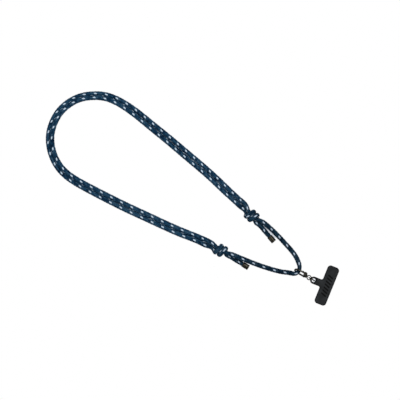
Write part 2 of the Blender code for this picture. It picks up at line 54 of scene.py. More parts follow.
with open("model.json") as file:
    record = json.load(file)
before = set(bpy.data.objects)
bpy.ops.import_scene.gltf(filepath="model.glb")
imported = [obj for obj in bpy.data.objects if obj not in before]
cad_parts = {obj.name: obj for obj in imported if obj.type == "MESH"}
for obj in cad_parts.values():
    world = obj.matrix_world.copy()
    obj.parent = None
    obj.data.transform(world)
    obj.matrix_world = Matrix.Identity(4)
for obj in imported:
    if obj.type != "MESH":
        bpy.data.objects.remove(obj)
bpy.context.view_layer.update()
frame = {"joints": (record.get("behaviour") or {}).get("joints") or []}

# Rope, as in the solids
ROPE_DIAMETER = 0.006
ROPE_IN_HOOK = 0.0052
ROPE_IN_CAP = 0.0054
CORE_DIAMETER = 0.0046
WRAP_THICKNESS = 0.0049
WRAP_WIDTH = 0.0058
WRAP_PITCH = 0.0062
WRAP_ACROSS = 0.0059
WRAP_OFFSET = -0.0003
UPPER_WRAPS = (math.radians(-60), math.radians(622))
LOWER_WRAPS = (math.radians(-25), math.radians(605))
WRAP_STEP = math.radians(40)
WRAP_MIDDLE = math.radians(265)
CLEARANCE = 0.0003
FLOOR_GAP = 0.0001
SOFT_LANDING = 0.0003
UPPER_KNOT = (0.0168, -0.0723)
UPPER_HEADING = math.radians(-104)
LOWER_KNOT = (-0.0412, -0.0597)
LOWER_HEADING = math.radians(-90)
WRAP_RADIUS = CORE_DIAMETER / 2 + CLEARANCE + WRAP_THICKNESS / 2
KNOT_AXIS_HEIGHT = WRAP_RADIUS + WRAP_THICKNESS / 2 + FLOOR_GAP
ROPE_RADIUS = ROPE_DIAMETER / 2

# Middle of the doubled run, from the upper knot round to the lower one: x, y, spread of the strands
RUN = (
    (0.0238, -0.0492, 0.0063),
    (0.0281, -0.0298, 0.0064),
    (0.0341, -0.0049, 0.0065),
    (0.0391, 0.0202, 0.0066),
    (0.0436, 0.0454, 0.0066),
    (0.0481, 0.0705, 0.0065),
    (0.0521, 0.0957, 0.0064),
    (0.0561, 0.1209, 0.0062),
    (0.0575, 0.1361, 0.0060),
    (0.0574, 0.1516, 0.0057),
    (0.0544, 0.1666, 0.0055),
    (0.0474, 0.1804, 0.0054),
    (0.0376, 0.1923, 0.0053),
    (0.0248, 0.2009, 0.0053),
    (0.0101, 0.2058, 0.0053),
    (-0.0053, 0.2062, 0.0053),
    (-0.0205, 0.2026, 0.0053),
    (-0.0339, 0.1948, 0.0053),
    (-0.0448, 0.1838, 0.0054),
    (-0.0526, 0.1705, 0.0055),
    (-0.0565, 0.1556, 0.0057),
    (-0.0574, 0.1401, 0.0059),
    (-0.0569, 0.1198, 0.0061),
    (-0.0557, 0.0942, 0.0063),
    (-0.0540, 0.0687, 0.0064),
    (-0.0517, 0.0433, 0.0064),
    (-0.0494, 0.0178, 0.0063),
    (-0.0465, -0.0075, 0.0063),
    (-0.0430, -0.0324, 0.0063),
)

# The two arms from knot to hook, the bight in the hook and the tails: x, y, lift off the floor
UPPER_ARM = (
    (0.0167, -0.0880, 0.0038),
    (0.0144, -0.1024, 0.0006),
    (0.0108, -0.1162, 0.0000),
    (0.0064, -0.1301, 0.0000),
    (0.0016, -0.1435, 0.0003),
    (-0.0051, -0.1540, 0.0016),
)
BIGHT = (
    (-0.0101, -0.1583, 0.0024),
    (-0.0150, -0.1595, 0.0026),
    (-0.0195, -0.1575, 0.0028),
)
LOWER_ARM = (
    (-0.0388, -0.0745, 0.0056),
    (-0.0369, -0.0879, 0.0054),
    (-0.0354, -0.0995, 0.0038),
    (-0.0340, -0.1090, 0.0016),
    (-0.0319, -0.1202, 0.0002),
    (-0.0293, -0.1313, 0.0000),
    (-0.0259, -0.1424, 0.0004),
    (-0.0218, -0.1524, 0.0019),
)
UPPER_TAIL = (
    (0.0113, -0.0862, 0.0001),
    (0.0083, -0.0959, 0.0003),
    (0.0050, -0.1055, 0.0006),
    (0.0030, -0.1112, 0.0006),
)
LOWER_TAIL = (
    (-0.0426, -0.0850, 0.0002),
    (-0.0427, -0.0930, 0.0006),
    (-0.0429, -0.0995, 0.0006),
)

# Where the strands run at each knot: along its heading, across it, above its axis
UPPER_APPROACH = ((-0.0190, 0.0046, -0.0029), (-0.0135, 0.0039, -0.0006))
LOWER_APPROACH = ((-0.0200, 0.0021, -0.0023), (-0.0140, 0.0023, -0.0008))
UPPER_CORE = (
    (-0.0085, 0.0020, 0.0001),
    (-0.0040, 0.0006, 0.0),
    (0.0, 0.0001, 0.0),
    (0.0062, 0.0004, 0.0),
    (0.0102, 0.0022, 0.0002),
)
LOWER_CORE = (
    (-0.0085, 0.0015, 0.0),
    (-0.0040, 0.0004, 0.0),
    (0.0, 0.0001, 0.0),
    (0.0055, 0.0003, 0.0001),
    (0.0095, 0.0013, 0.0006),
)
UPPER_LEAD = (-0.0175, -0.0017, -0.0045)
LOWER_LEAD = (-0.0175, -0.0039, -0.0045)
UPPER_ENTRY = (-0.0106, -0.0010, -0.0045)
LOWER_ENTRY = (-0.0102, -0.0027, -0.0045)
UPPER_EXIT = ((0.0102, -0.0024, -0.0046),)
LOWER_EXIT = ((0.0102, -0.0012, -0.0046), (0.0140, -0.0012, -0.0045))

# Braid: eight columns of stitches round the rope, a pale one at every fourth stitch of every other column
COLUMNS = 8
REPEAT = 4
RINGS_PER_STITCH = 6
SIDES_PER_COLUMN = 4
ROUTE_SAMPLES = 60000
SLANT = 0.45
CROWN_POWER = 2.2
DIP_POWER = 2.6
DIP_DEPTH = 0.72
MIDDLE_HEIGHT = 0.50
PLIES_ALONG = 44.0
PLIES_ACROSS = 9.0

# Where the pale stitches sit: distance along the rope, and stitches that the braid is pulled by there
BRAID_PULL = (
    (0.012, -0.25),
    (0.146, 1.07),
    (0.171, 0.68),
    (0.196, 0.42),
    (0.221, 0.11),
    (0.246, 0.05),
    (0.321, 0.27),
    (0.396, 0.75),
    (0.446, 0.92),
    (0.496, 0.74),
    (0.546, 0.36),
    (0.596, -0.04),
    (0.621, -0.09),
    (0.646, 0.05),
    (0.743, -0.76),
    (0.768, -1.06),
    (0.847, -1.15),
    (0.872, -1.37),
    (0.959, -1.45),
    (0.984, -0.91),
    (1.009, -0.47),
    (1.059, 0.14),
    (1.096, 0.39),
    (1.159, 0.09),
    (1.209, -0.07),
    (1.271, 0.16),
    (1.309, -0.19),
    (1.359, -0.69),
    (1.409, -1.35),
    (1.484, -2.29),
    (1.608, -3.63),
)

# End caps
CAP_LENGTH = 0.0087
CAP_OUTER = ROPE_IN_CAP / 2 + CLEARANCE + 0.0005
CAP_BORE = ROPE_IN_CAP / 2 + 0.00012
CAP_DEPTH = 0.0068
CAP_GROOVE = 0.00022
CAP_ROUNDING = 0.0003
CAP_SIDES = 96
TAIL_IN_CAP = 0.0060

# Hook, in its own frame: X across its opening towards the gate, Y towards its nose, Z out of its plane
HOOK_WIRE = 0.0022
RAIL = 0.0052
NOSE_CENTRE = 0.0089
NOSE_LIP = math.radians(14)
NOSE_TAPER = 0.12
BASE_EDGE = 0.0006
BASE_LENGTH = 0.0027
BASE_HALF = 0.0057
BASE_SLOPE = (0.561, 0.828)
BASE_HALF_THICKNESS = 0.0014
BASE_ROUNDING = 0.0007
BARREL_RADIUS = 0.0026
BARREL_GROOVE = 0.00016
BARREL_GROOVE_STEP = 0.0012
EAR_RADIUS = 0.00165
EAR_SHIFT = 0.0002
SLOT_MIDDLE = (0.0050, 0.0028, 0)
SLOT_REACH = (0.0033, 0.00325)
PIN_HOLE_RADIUS = 0.00085
PIN_RADIUS = 0.00055
PIN_HEAD_RADIUS = 0.0009
PIN_HEAD_RISE = 0.00016
PIN_HEAD_FLATNESS = 3.2
PIVOT = (0.0044, 0.0012)
SLOT_HALF = 0.00125
CHEEK = 0.0007
KNUCKLE_RADIUS = 0.00135
GATE_HALF = 0.00095
GATE_TIP = 0.0084
LEAF = (0.0004, 0.0019)
THUMB_REACH = 0.0016
THUMB_MIDDLE = 0.0036
THUMB_RADIUS = 0.00088
THUMB_STRETCH = 1.35
THUMB_RIDGE = 0.00009
THUMB_RIDGE_STEP = 0.00062
HOLLOW_Y = 0.0066
HOLLOW_HALF = (0.00012, 0.0013, 0.00055)
POST_RADIUS = 0.0009
POST_HEAD_RADIUS = 0.0017
POST_HEAD_LENGTH = 0.0009
EYE_WIRE = 0.0013
EYE_MIDDLE = 0.00265
EYE_NECK = 0.0068
EYE_SWELL = 0.16
RING_WIRE = 0.0015
RING_OUTER = 0.0096
RING_MIDDLE = (RING_OUTER - RING_WIRE) / 2
RING_SLIT = math.radians(2.2)
RING_TURN = math.radians(38)
RING_SPRING = 0.00006
RING_STEPS = 160
RING_SIDES = 28

# Boxes in which the cast pieces lie, and the cells of the small ones as a share of the hook's
HOOK_BOX = ((-0.0072, -0.0036, -0.0032), (0.0072, 0.0160, 0.0032))
GATE_BOX = ((-0.0022, -0.0022, -0.0028), (0.0044, 0.0092, 0.0028))
EYE_BOX = ((-0.0040, -0.0040, -0.0024), (0.0040, 0.0086, 0.0024))
SMALL_CELL = 0.8

# Meshes: how close corners have to lie to be joined, from which angle an edge is sharp, the rounds in
# which corners are moved onto a surface or an outline, and the corners of a cell in order round it
MERGE = 1e-6
SHARP_EDGE = math.radians(40)
ROUNDS = 4
CELL_CORNERS = ((0, 0), (1, 0), (1, 1), (0, 1))

# Phone tab
TAB_BAR = (0.0520, 0.0156)
TAB_HEIGHT = 0.0310
TAB_STEM = 0.0095
TAB_HOLE = 0.0050
TAB_CORNER = 0.0042
TAB_FILLET = 0.0020
TAB_TURN = math.radians(8)
TAB_LIFT = 0.0028
TAB_THICKNESS = 0.0010
TAB_HOLE_Y = TAB_HEIGHT - TAB_BAR[1] / 2 - TAB_STEM / 2
TAB_CELL = 0.00024
TAB_ROUNDING = 0.00042
TAB_LIP = 0.00009
TAB_BEND = 1.4
RIB_ROW = 0.0122
RIB_LEAN = 0.35
RING_IN_HOLE = 0.76

# Looks that the settings leave alone. From ARMS_END to LOOP_START, along Y, the arms' tint gives way to
# the loop's own colours. PATCH_GAIN makes the paler patches of a face.
WHITE = (1.0, 1.0, 1.0, 1.0)
TRACER_SHADE = (0.42, 0.54, 0.66, 1.0)
TRACER_ON_ARMS = (0.80, 0.78, 0.80, 1.0)
RIB_COLOUR = (0.0008, 0.0009, 0.0012, 1.0)
PATCH_GAIN = 1.7
ARMS_END = -0.105
LOOP_START = -0.015

# Floor: half its side, the light it throws on the strap, and the cool shade close under the strap
FLOOR_HALF = 6.0
FLOOR_BOUNCE = (0.16, 0.17, 0.19, 1.0)
FLOOR_SHADE = (0.50, 0.68, 1.0, 1.0)
FLOOR_SHADE_REACH = 0.005

# Power of the weaker lamp as a share of the key light's
FILL_SHARE = 0.3

# Camera: it looks straight down, turned so that the strap lies on a slant in the picture
LENS = 85
SENSOR = 36
CAMERA_SPOT = (0.0010, -0.0053)
CAMERA_TURN = math.radians(-60)


def length_setting(name, description, default, least=0.0):
    """Length that can be set in the panel."""
    return FloatProperty(name=name, description=description, default=default, min=least, unit="LENGTH")


def colour_setting(name, description, default):
    """Colour that can be set in the panel."""
    return FloatVectorProperty(name=name, description=description, subtype="COLOR", default=default)


class RopeSettings(PropertyGroup):
    """Sizes and colours of the braided rope"""

    stitch: length_setting("Stitch", "Length of one stitch along the rope", 0.003512, 0.001)
    relief: length_setting("Relief", "Height of a stitch over its grooves", 0.00038)
    yarn: colour_setting("Yarn", "Navy of most yarns", (0.0138, 0.067, 0.138))
    deep: colour_setting("Deep yarn", "Darkest navy", (0.0007, 0.0155, 0.048))
    light: colour_setting("Faded yarn", "Greyed slate of the lighter yarns", (0.055, 0.115, 0.180))
    tracer: colour_setting("Tracer", "Pale yarn in the braid", (0.66, 0.82, 0.98))
    arm_tint: colour_setting("Arm tint", "Tint of the arms beside the loop", (0.74, 0.57, 0.51))


class MetalSettings(PropertyGroup):
    """Colours and roughness of the aged metal"""

    patina: colour_setting("Patina", "Dark aged face", (0.030, 0.028, 0.022))
    bare: colour_setting("Bare metal", "Rubbed edges", (0.42, 0.39, 0.34))
    roughness: FloatProperty(
        name="Roughness",
        description="Roughness of the aged face",
        default=0.34,
        min=0,
        max=1,
        subtype="FACTOR",
    )
    cell: length_setting("Cell", "Size of the mesh cells of cast pieces", 0.00015, 0.00005)


class TabSettings(PropertyGroup):
    """Sizes and colours of the phone tab"""

    face: colour_setting("Face", "Matte face", (0.0160, 0.0175, 0.0192))
    # Painted shade: the colour laid along the rim and round the hole
    edge: colour_setting("Edge", "Painted shade along the rim and round the hole", (0.0012, 0.0014, 0.0016))
    rib_height: length_setting("Rib height", "Height of the grip ribs", 0.00016)
    ribs: IntProperty(name="Ribs", description="Number of grip ribs", default=7, min=0, max=30)


class StageSettings(PropertyGroup):
    """Floor, light and camera"""

    height: length_setting("Camera height", "Height of the lens over the floor", 1.210)
    key: FloatProperty(
        name="Key light", description="Power of the large soft light", default=13, unit="POWER"
    )
    sky: FloatProperty(name="Sky", description="Strength of the even light", default=0.38, min=0)


class StrapSettings(PropertyGroup):
    """All settings of the strap"""

    rope: PointerProperty(type=RopeSettings)
    metal: PointerProperty(type=MetalSettings)
    tab: PointerProperty(type=TabSettings)
    stage: PointerProperty(type=StageSettings)


def unit(vectors):
    """Vectors of length one along the last axis."""
    return vectors / np.linalg.norm(vectors, axis=-1, keepdims=True)


def smoothstep(values, low, high):
    """0 below low, 1 above high, and an even slope between."""
    share = np.clip((values - low) / (high - low), 0, 1)
    return share * share * (3 - 2 * share)


def chord_stations(points):
    """Distance along the straight lines between points."""
    return np.concatenate([[0.0], np.cumsum(np.linalg.norm(np.diff(points, axis=0), axis=1))])


def spline(points, stations):
    """Natural cubic curve through points, read at stations of its chord length."""
    chord = chord_stations(points)
    step = np.diff(chord)
    slope = np.diff(points, axis=0) / step[:, None]
    system = np.diag(np.concatenate([[1.0], 2 * (step[:-1] + step[1:]), [1.0]]))
    system += np.diag(np.append(step[:-1], 0.0), -1) + np.diag(np.insert(step[1:], 0, 0.0), 1)
    right = np.zeros_like(points)
    right[1:-1] = 6 * np.diff(slope, axis=0)
    bend = np.linalg.solve(system, right)
    piece = np.clip(np.searchsorted(chord, stations, side="right") - 1, 0, len(step) - 1)
    width = step[piece][:, None]
    ahead = (chord[piece + 1] - stations)[:, None]
    behind = (stations - chord[piece])[:, None]
    return (
        bend[piece] * ahead**3 / (6 * width)
        + bend[piece + 1] * behind**3 / (6 * width)
        + (points[piece] / width - bend[piece] * width / 6) * ahead
        + (points[piece + 1] / width - bend[piece + 1] * width / 6) * behind
    )


def knot_points(knot, heading, rows):
    """Points given in a knot's own frame: along its heading, across to the left of it, above its axis."""
    rows = np.atleast_2d(rows)
    way = np.array([math.cos(heading), math.sin(heading), 0.0])
    side = np.array([-way[1], way[0], 0.0])
    up = np.array([0.0, 0.0, 1.0])
    centre = np.array([*knot, KNOT_AXIS_HEIGHT])
    return centre + rows[:, :1] * way + rows[:, 1:2] * side + rows[:, 2:] * up


def wrap_points(knot, heading, wraps):
    """Two wraps as an oval helix round the knot's axis, rising on the side of the free tail."""
    angle = np.linspace(*wraps, round((wraps[1] - wraps[0]) / WRAP_STEP) + 1)
    along = (angle - WRAP_MIDDLE) / (2 * math.pi) * WRAP_PITCH
    across = WRAP_OFFSET - WRAP_ACROSS * np.cos(angle)
    rows = np.column_stack([along, across, WRAP_RADIUS * np.sin(angle)])
    return knot_points(knot, heading, rows)


def run_points(side):
    """One strand of the doubled run: side 1 is the inner strand, which rides on the outer one."""
    run = np.array(RUN)
    spread = run[:, 2]
    ahead = unit(np.gradient(run[:, :2], axis=0))
    left = np.column_stack([-ahead[:, 1], ahead[:, 0]])
    middle = run[:, :2] + left * (side * spread / 2)[:, None]
    rise = np.sqrt(np.clip((ROPE_DIAMETER + CLEARANCE) ** 2 - spread**2, 0, None)) * (side > 0)
    return np.column_stack([middle, ROPE_RADIUS + rise])


def floor_points(rows):
    """Points of a stretch that is given as x, y and lift off the floor."""
    return np.array(rows) + (0, 0, ROPE_RADIUS)


def rope_route():
    """Points of the whole rope from cap to cap, each with its thickness and width."""
    upper = (UPPER_KNOT, UPPER_HEADING)
    lower = (LOWER_KNOT, LOWER_HEADING)
    plain = (ROPE_DIAMETER, ROPE_DIAMETER)
    core = (CORE_DIAMETER, CORE_DIAMETER)
    wrap = (WRAP_THICKNESS, WRAP_WIDTH)
    end = (ROPE_IN_CAP, ROPE_IN_CAP)
    hooked = (ROPE_IN_HOOK, ROPE_IN_HOOK)
    parts = (
        ("upper tail end", floor_points(UPPER_TAIL[-2:])[::-1], end),
        ("upper tail", floor_points(UPPER_TAIL[:-2])[::-1], plain),
        ("upper exit", knot_points(*upper, UPPER_EXIT[::-1]), plain),
        ("upper wraps", wrap_points(*upper, UPPER_WRAPS)[::-1], wrap),
        ("upper entry", knot_points(*upper, UPPER_ENTRY), plain),
        ("upper lead", knot_points(*upper, UPPER_LEAD), plain),
        ("inner strand", run_points(1), plain),
        ("lower approach", knot_points(*lower, LOWER_APPROACH), plain),
        ("lower core", knot_points(*lower, LOWER_CORE), core),
        ("lower arm", floor_points(LOWER_ARM), plain),
        ("bight", floor_points(BIGHT)[::-1], hooked),
        ("upper arm", floor_points(UPPER_ARM)[::-1], plain),
        ("upper core", knot_points(*upper, UPPER_CORE[::-1]), core),
        ("upper approach", knot_points(*upper, UPPER_APPROACH[::-1]), plain),
        ("outer strand", run_points(-1), plain),
        ("lower lead", knot_points(*lower, LOWER_LEAD), plain),
        ("lower entry", knot_points(*lower, LOWER_ENTRY), plain),
        ("lower wraps", wrap_points(*lower, LOWER_WRAPS), wrap),
        ("lower exit", knot_points(*lower, LOWER_EXIT), plain),
        ("lower tail", floor_points(LOWER_TAIL[:-2]), plain),
        ("lower tail end", floor_points(LOWER_TAIL[-2:]), end),
    )
    counts = np.cumsum([0] + [len(places) for _, places, _ in parts])
    starts = {name: count for (name, _, _), count in zip(parts, counts)}
    points = np.concatenate([places for _, places, _ in parts])
    sections = np.concatenate([np.tile(section, (len(places), 1)) for _, places, section in parts])
    return points, sections, starts


def rope_rings(stitch):
    """Ring centres along the rope, a set number to each stitch, with their sections and stations."""
    points, sections, starts = rope_route()
    chord = chord_stations(points)
    fine = np.linspace(0, chord[-1], ROUTE_SAMPLES)
    length = chord_stations(spline(points, fine))
    count = int(length[-1] / stitch * RINGS_PER_STITCH) + 1
    even = np.linspace(0, length[-1], count)
    stations = np.interp(even, length, fine)
    centres = spline(points, stations)
    section = np.column_stack([np.interp(stations, chord, column) for column in sections.T])
    floor = section[:, 0] / 2 + FLOOR_GAP
    over = centres[:, 2] - floor
    centres[:, 2] = floor + (over + np.hypot(over, SOFT_LANDING)) / 2
    pull = np.interp(even, *np.array(BRAID_PULL).T)
    return centres, section, stations, even / stitch + pull, chord, starts


def ring_frames(centres, in_wraps):
    """Two directions across the rope at each ring: the first looks up wherever the rope lies, and
    turns evenly through the wraps, where it follows a frame that is carried along without twist."""
    ahead = unit(np.gradient(centres, axis=0))
    guide = unit(np.array([0.0, 1.0, 1.0]))
    first = unit(guide - (ahead @ guide)[:, None] * ahead)
    second = np.cross(ahead, first)
    turn = np.arctan2((first[:-1] * second[1:]).sum(1), (first[:-1] * first[1:]).sum(1))
    carried = np.concatenate([[0.0], np.cumsum(turn)])
    up = np.arctan2(second[:, 2], first[:, 2])
    order = np.arange(len(centres))
    lying = ~in_wraps
    offset = np.interp(order, order[lying], np.unwrap((up - carried)[lying]))
    angle = (carried + offset)[:, None]
    one = first * np.cos(angle) + second * np.sin(angle)
    return ahead, one, np.cross(ahead, one)


def stitch_height(column, stitch):
    """Height of the braid from 0 in its grooves to 1 on its crests, by place across and along it."""
    across = column % 1 - 0.5
    odd = np.floor(column) % 2
    along = (stitch + odd / 2 - SLANT * across * (1 - 2 * odd)) % 1 - 0.5
    crown = 1 - np.abs(2 * across) ** CROWN_POWER
    return crown * (1 - DIP_DEPTH * np.abs(2 * along) ** DIP_POWER)


def grid_faces(rows, around):
    """Four-sided faces between neighbouring rings, each ring closed on itself."""
    row, side = np.meshgrid(np.arange(rows - 1), np.arange(around), indexing="ij")
    after = (side + 1) % around
    here = row * around
    ahead = here + around
    corners = (here + side, here + after, ahead + after, ahead + side)
    return np.stack(corners, axis=-1).reshape(-1, 4)


def end_faces(rows, around):
    """The two faces that close the ends of a tube of rings."""
    last = (rows - 1) * around
    return [tuple(range(around))[::-1], tuple(range(last, last + around))]


def add_piece(name, verts, faces, finish, ends=()):
    """Object at the origin, unturned, from arrays of corners and faces, with end faces if there are any."""
    mesh = bpy.data.meshes.new(name)
    mesh.from_pydata(verts, [], [*faces.tolist(), *ends])
    mesh.shade_smooth()
    mesh.materials.append(finish)
    piece = bpy.data.objects.new(name, mesh)
    bpy.context.scene.collection.objects.link(piece)
    return piece


def tidy(piece):
    """Closes seams and poles, points the faces outwards and marks the sharp edges."""
    work = bmesh.new()
    work.from_mesh(piece.data)
    bmesh.ops.remove_doubles(work, verts=work.verts, dist=MERGE)
    bmesh.ops.recalc_face_normals(work, faces=work.faces)
    work.to_mesh(piece.data)
    work.free()
    piece.data.shade_smooth()
    piece.data.set_sharp_from_angle(angle=SHARP_EDGE)


def mark(piece, name, values):
    """One number for each corner of the mesh, for its material."""
    attribute = piece.data.attributes.new(name, "FLOAT", "POINT")
    attribute.data.foreach_set("value", np.asarray(values, dtype=np.float32))


def spots_of(mesh, name):
    """Places or normals of a mesh's corners."""
    spots = np.empty(len(mesh.vertices) * 3)
    mesh.vertices.foreach_get(name, spots)
    return spots.reshape(-1, 3)


def mark_wear(piece, low, high, rounds=2):
    """Marks the corners that stick out: 0 where the surface's curvature is low, 1 where it is high, both
    in 1/m, after it is smoothed over the neighbours."""
    mesh = piece.data
    count = len(mesh.vertices)
    spots = spots_of(mesh, "co")
    normal = spots_of(mesh, "normal")
    edges = np.empty(len(mesh.edges) * 2, dtype=np.int64)
    mesh.edges.foreach_get("vertices", edges)
    one, other = edges.reshape(-1, 2).T
    start, end = np.concatenate([one, other]), np.concatenate([other, one])
    share = np.maximum(np.bincount(start, minlength=count), 1)

    def around(values):
        return np.bincount(start, weights=values, minlength=count) / share

    step = spots[end] - spots[start]
    drop = (step * normal[start]).sum(1)
    bend = -2 * around(drop) / np.maximum(around((step**2).sum(1)), 1e-12)
    for _ in range(rounds):
        bend = (bend + around(bend[end])) / 2
    mark(piece, "wear", smoothstep(bend, low, high))


def dress(piece, body, slot, *nodes):
    """The piece rides on its body and takes the place of its solids; the slot is not used."""
    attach(piece, body)
    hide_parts(*nodes)
    return piece


def feed(tree, node, feeds):
    """Feeds a node's inputs with values or with other nodes' outputs; gives all its outputs."""
    for key, value in feeds.items():
        if isinstance(value, bpy.types.NodeSocket):
            tree.links.new(value, node.inputs[key])
        else:
            node.inputs[key].default_value = value
    return node.outputs


def place(tree, kind, feeds=None, out=0, **settings):
    """New node with its settings and its inputs fed; gives one output."""
    made = tree.nodes.new("ShaderNode" + kind)
    for key, value in settings.items():
        setattr(made, key, value)
    return feed(tree, made, feeds or {})[out]


def sums(tree, operation, *feeds, clamp=False):
    """Math node of up to three feeds."""
    return place(tree, "Math", dict(enumerate(feeds)), operation=operation, use_clamp=clamp)


def times(tree, one, other):
    """Product."""
    return sums(tree, "MULTIPLY", one, other)


def less(tree, one, other):
    """Difference."""
    return sums(tree, "SUBTRACT", one, other)


def line(tree, value, scale, shift):
    """Value times a scale, plus a shift."""
    return sums(tree, "MULTIPLY_ADD", value, scale, shift)


def noise(tree, spot, scale, detail):
    """Noise at a place."""
    return place(tree, "TexNoise", {"Vector": spot, "Scale": scale, "Detail": detail})


def bump(tree, shader, strength, height):
    """Tilts the surface by a height in metres."""
    tilt = place(tree, "Bump", {"Strength": strength, "Distance": 1.0, "Height": height})
    tree.links.new(tilt, shader["Normal"])


def blend_colours(tree, share, one, other, how="MIX"):
    """Mix of two colours."""
    feeds = {0: share, 6: one, 7: other}
    return place(tree, "Mix", feeds, out=2, data_type="RGBA", blend_type=how)


def fit(tree, value, low, high, to_low=0.0, to_high=1.0):
    """Value moved from one range to another, held at its ends."""
    return place(tree, "MapRange", {0: value, 1: low, 2: high, 3: to_low, 4: to_high})


def rgba(colour):
    """Colour with full alpha."""
    return (*colour, 1.0)


def lighter(colour):
    """Colour of the paler patches of a face."""
    return tuple(min(1.0, PATCH_GAIN * part) for part in colour)


def new_group(name, inputs, outputs):
    """Shader node group with named sockets: (name, kind, default) rows and (name, kind) rows."""
    group = bpy.data.node_groups.new(name, "ShaderNodeTree")
    for label, kind, default in inputs:
        socket = group.interface.new_socket(name=label, in_out="INPUT", socket_type="NodeSocket" + kind)
        if default is not None:
            socket.default_value = default
    for label, kind in outputs:
        group.interface.new_socket(name=label, in_out="OUTPUT", socket_type="NodeSocket" + kind)
    entry = group.nodes.new("NodeGroupInput").outputs
    leave = group.nodes.new("NodeGroupOutput").inputs
    return group, entry, leave


def use_group(tree, name, build, feeds):
    """Places the named group, built the first time that a material needs it; gives all its outputs."""
    made = tree.nodes.new("ShaderNodeGroup")
    made.node_tree = bpy.data.node_groups.get(name) or build(name)
    return feed(tree, made, feeds)


def stitch_group(name):
    """Reads the braid's map: which stitch a point is on, how high, and whether its yarn is pale."""
    group, entry, leave = new_group(
        name,
        (("Map", "Vector", None), ("Slant", "Float", SLANT), ("Repeat", "Float", float(REPEAT))),
        (("Chance", "Float"), ("Pale", "Float"), ("Height", "Float"), ("Fibre", "Float")),
    )
    parts = group.nodes.new("ShaderNodeSeparateXYZ")
    column_place, stitch_place, _ = feed(group, parts, {0: entry["Map"]})
    column = sums(group, "FLOOR", column_place)
    across = less(group, sums(group, "FRACT", column_place), 0.5)
    odd = sums(group, "MODULO", column, 2.0)
    lean = line(group, odd, -2.0, 1.0)
    slope = times(group, times(group, across, entry["Slant"]), lean)
    phase = less(group, line(group, odd, 0.5, stitch_place), slope)
    number = sums(group, "FLOOR", phase)
    along = less(group, sums(group, "FRACT", phase), 0.5)
    turn = less(group, number, times(group, column, 0.5))
    order = sums(group, "FLOORED_MODULO", turn, entry["Repeat"])
    pale = times(group, sums(group, "LESS_THAN", order, 0.25), less(group, 1.0, odd))
    spot = place(group, "CombineXYZ", {0: column, 1: number})
    chance = place(group, "TexWhiteNoise", {0: spot}, noise_dimensions="3D")
    wide = sums(group, "POWER", sums(group, "ABSOLUTE", times(group, across, 2.0)), CROWN_POWER)
    long = sums(group, "POWER", sums(group, "ABSOLUTE", times(group, along, 2.0)), DIP_POWER)
    height = times(group, less(group, 1.0, wide), line(group, long, -DIP_DEPTH, 1.0))
    ply = line(group, along, PLIES_ALONG, times(group, times(group, across, lean), PLIES_ACROSS))
    fibre = line(group, sums(group, "SINE", ply), 0.5, 0.5)
    for label, value in (("Chance", chance), ("Pale", pale), ("Height", height), ("Fibre", fibre)):
        group.links.new(value, leave[label])
    return group


def grain_group(name):
    """Fine uneven surface: two sizes of noise as a height, and a slow mask for patches."""
    group, entry, leave = new_group(
        name,
        (("Place", "Vector", None), ("Fine scale", "Float", 2500.0), ("Patch scale", "Float", 160.0)),
        (("Height", "Float"), ("Patches", "Float")),
    )
    fine = noise(group, entry["Place"], entry["Fine scale"], 3.0)
    wide = noise(group, entry["Place"], times(group, entry["Fine scale"], 0.31), 2.0)
    patch = noise(group, entry["Place"], entry["Patch scale"], 4.0)
    group.links.new(line(group, fine, 0.6, times(group, wide, 0.4)), leave["Height"])
    group.links.new(fit(group, patch, 0.38, 0.66), leave["Patches"])
    return group


def wear_group(name):
    """Rubbed edges: the mesh's own mark for what sticks out, broken up by patches and fine noise."""
    group, entry, leave = new_group(
        name,
        (("Wear", "Float", 0.0), ("Patches", "Float", 0.5), ("Fine", "Float", 0.5), ("Amount", "Float", 0.8)),
        (("Bare", "Float"),),
    )
    broken = line(group, entry["Patches"], 0.5, times(group, entry["Fine"], 0.5))
    edge = times(group, entry["Wear"], sums(group, "ADD", broken, 0.45))
    bare = sums(group, "MULTIPLY", edge, entry["Amount"], clamp=True)
    group.links.new(bare, leave["Bare"])
    return group


def new_finish(name):
    """Empty material with its shader."""
    finish = bpy.data.materials.new(name)
    finish.use_nodes = True
    tree = finish.node_tree
    return finish, tree, tree.nodes["Principled BSDF"].inputs


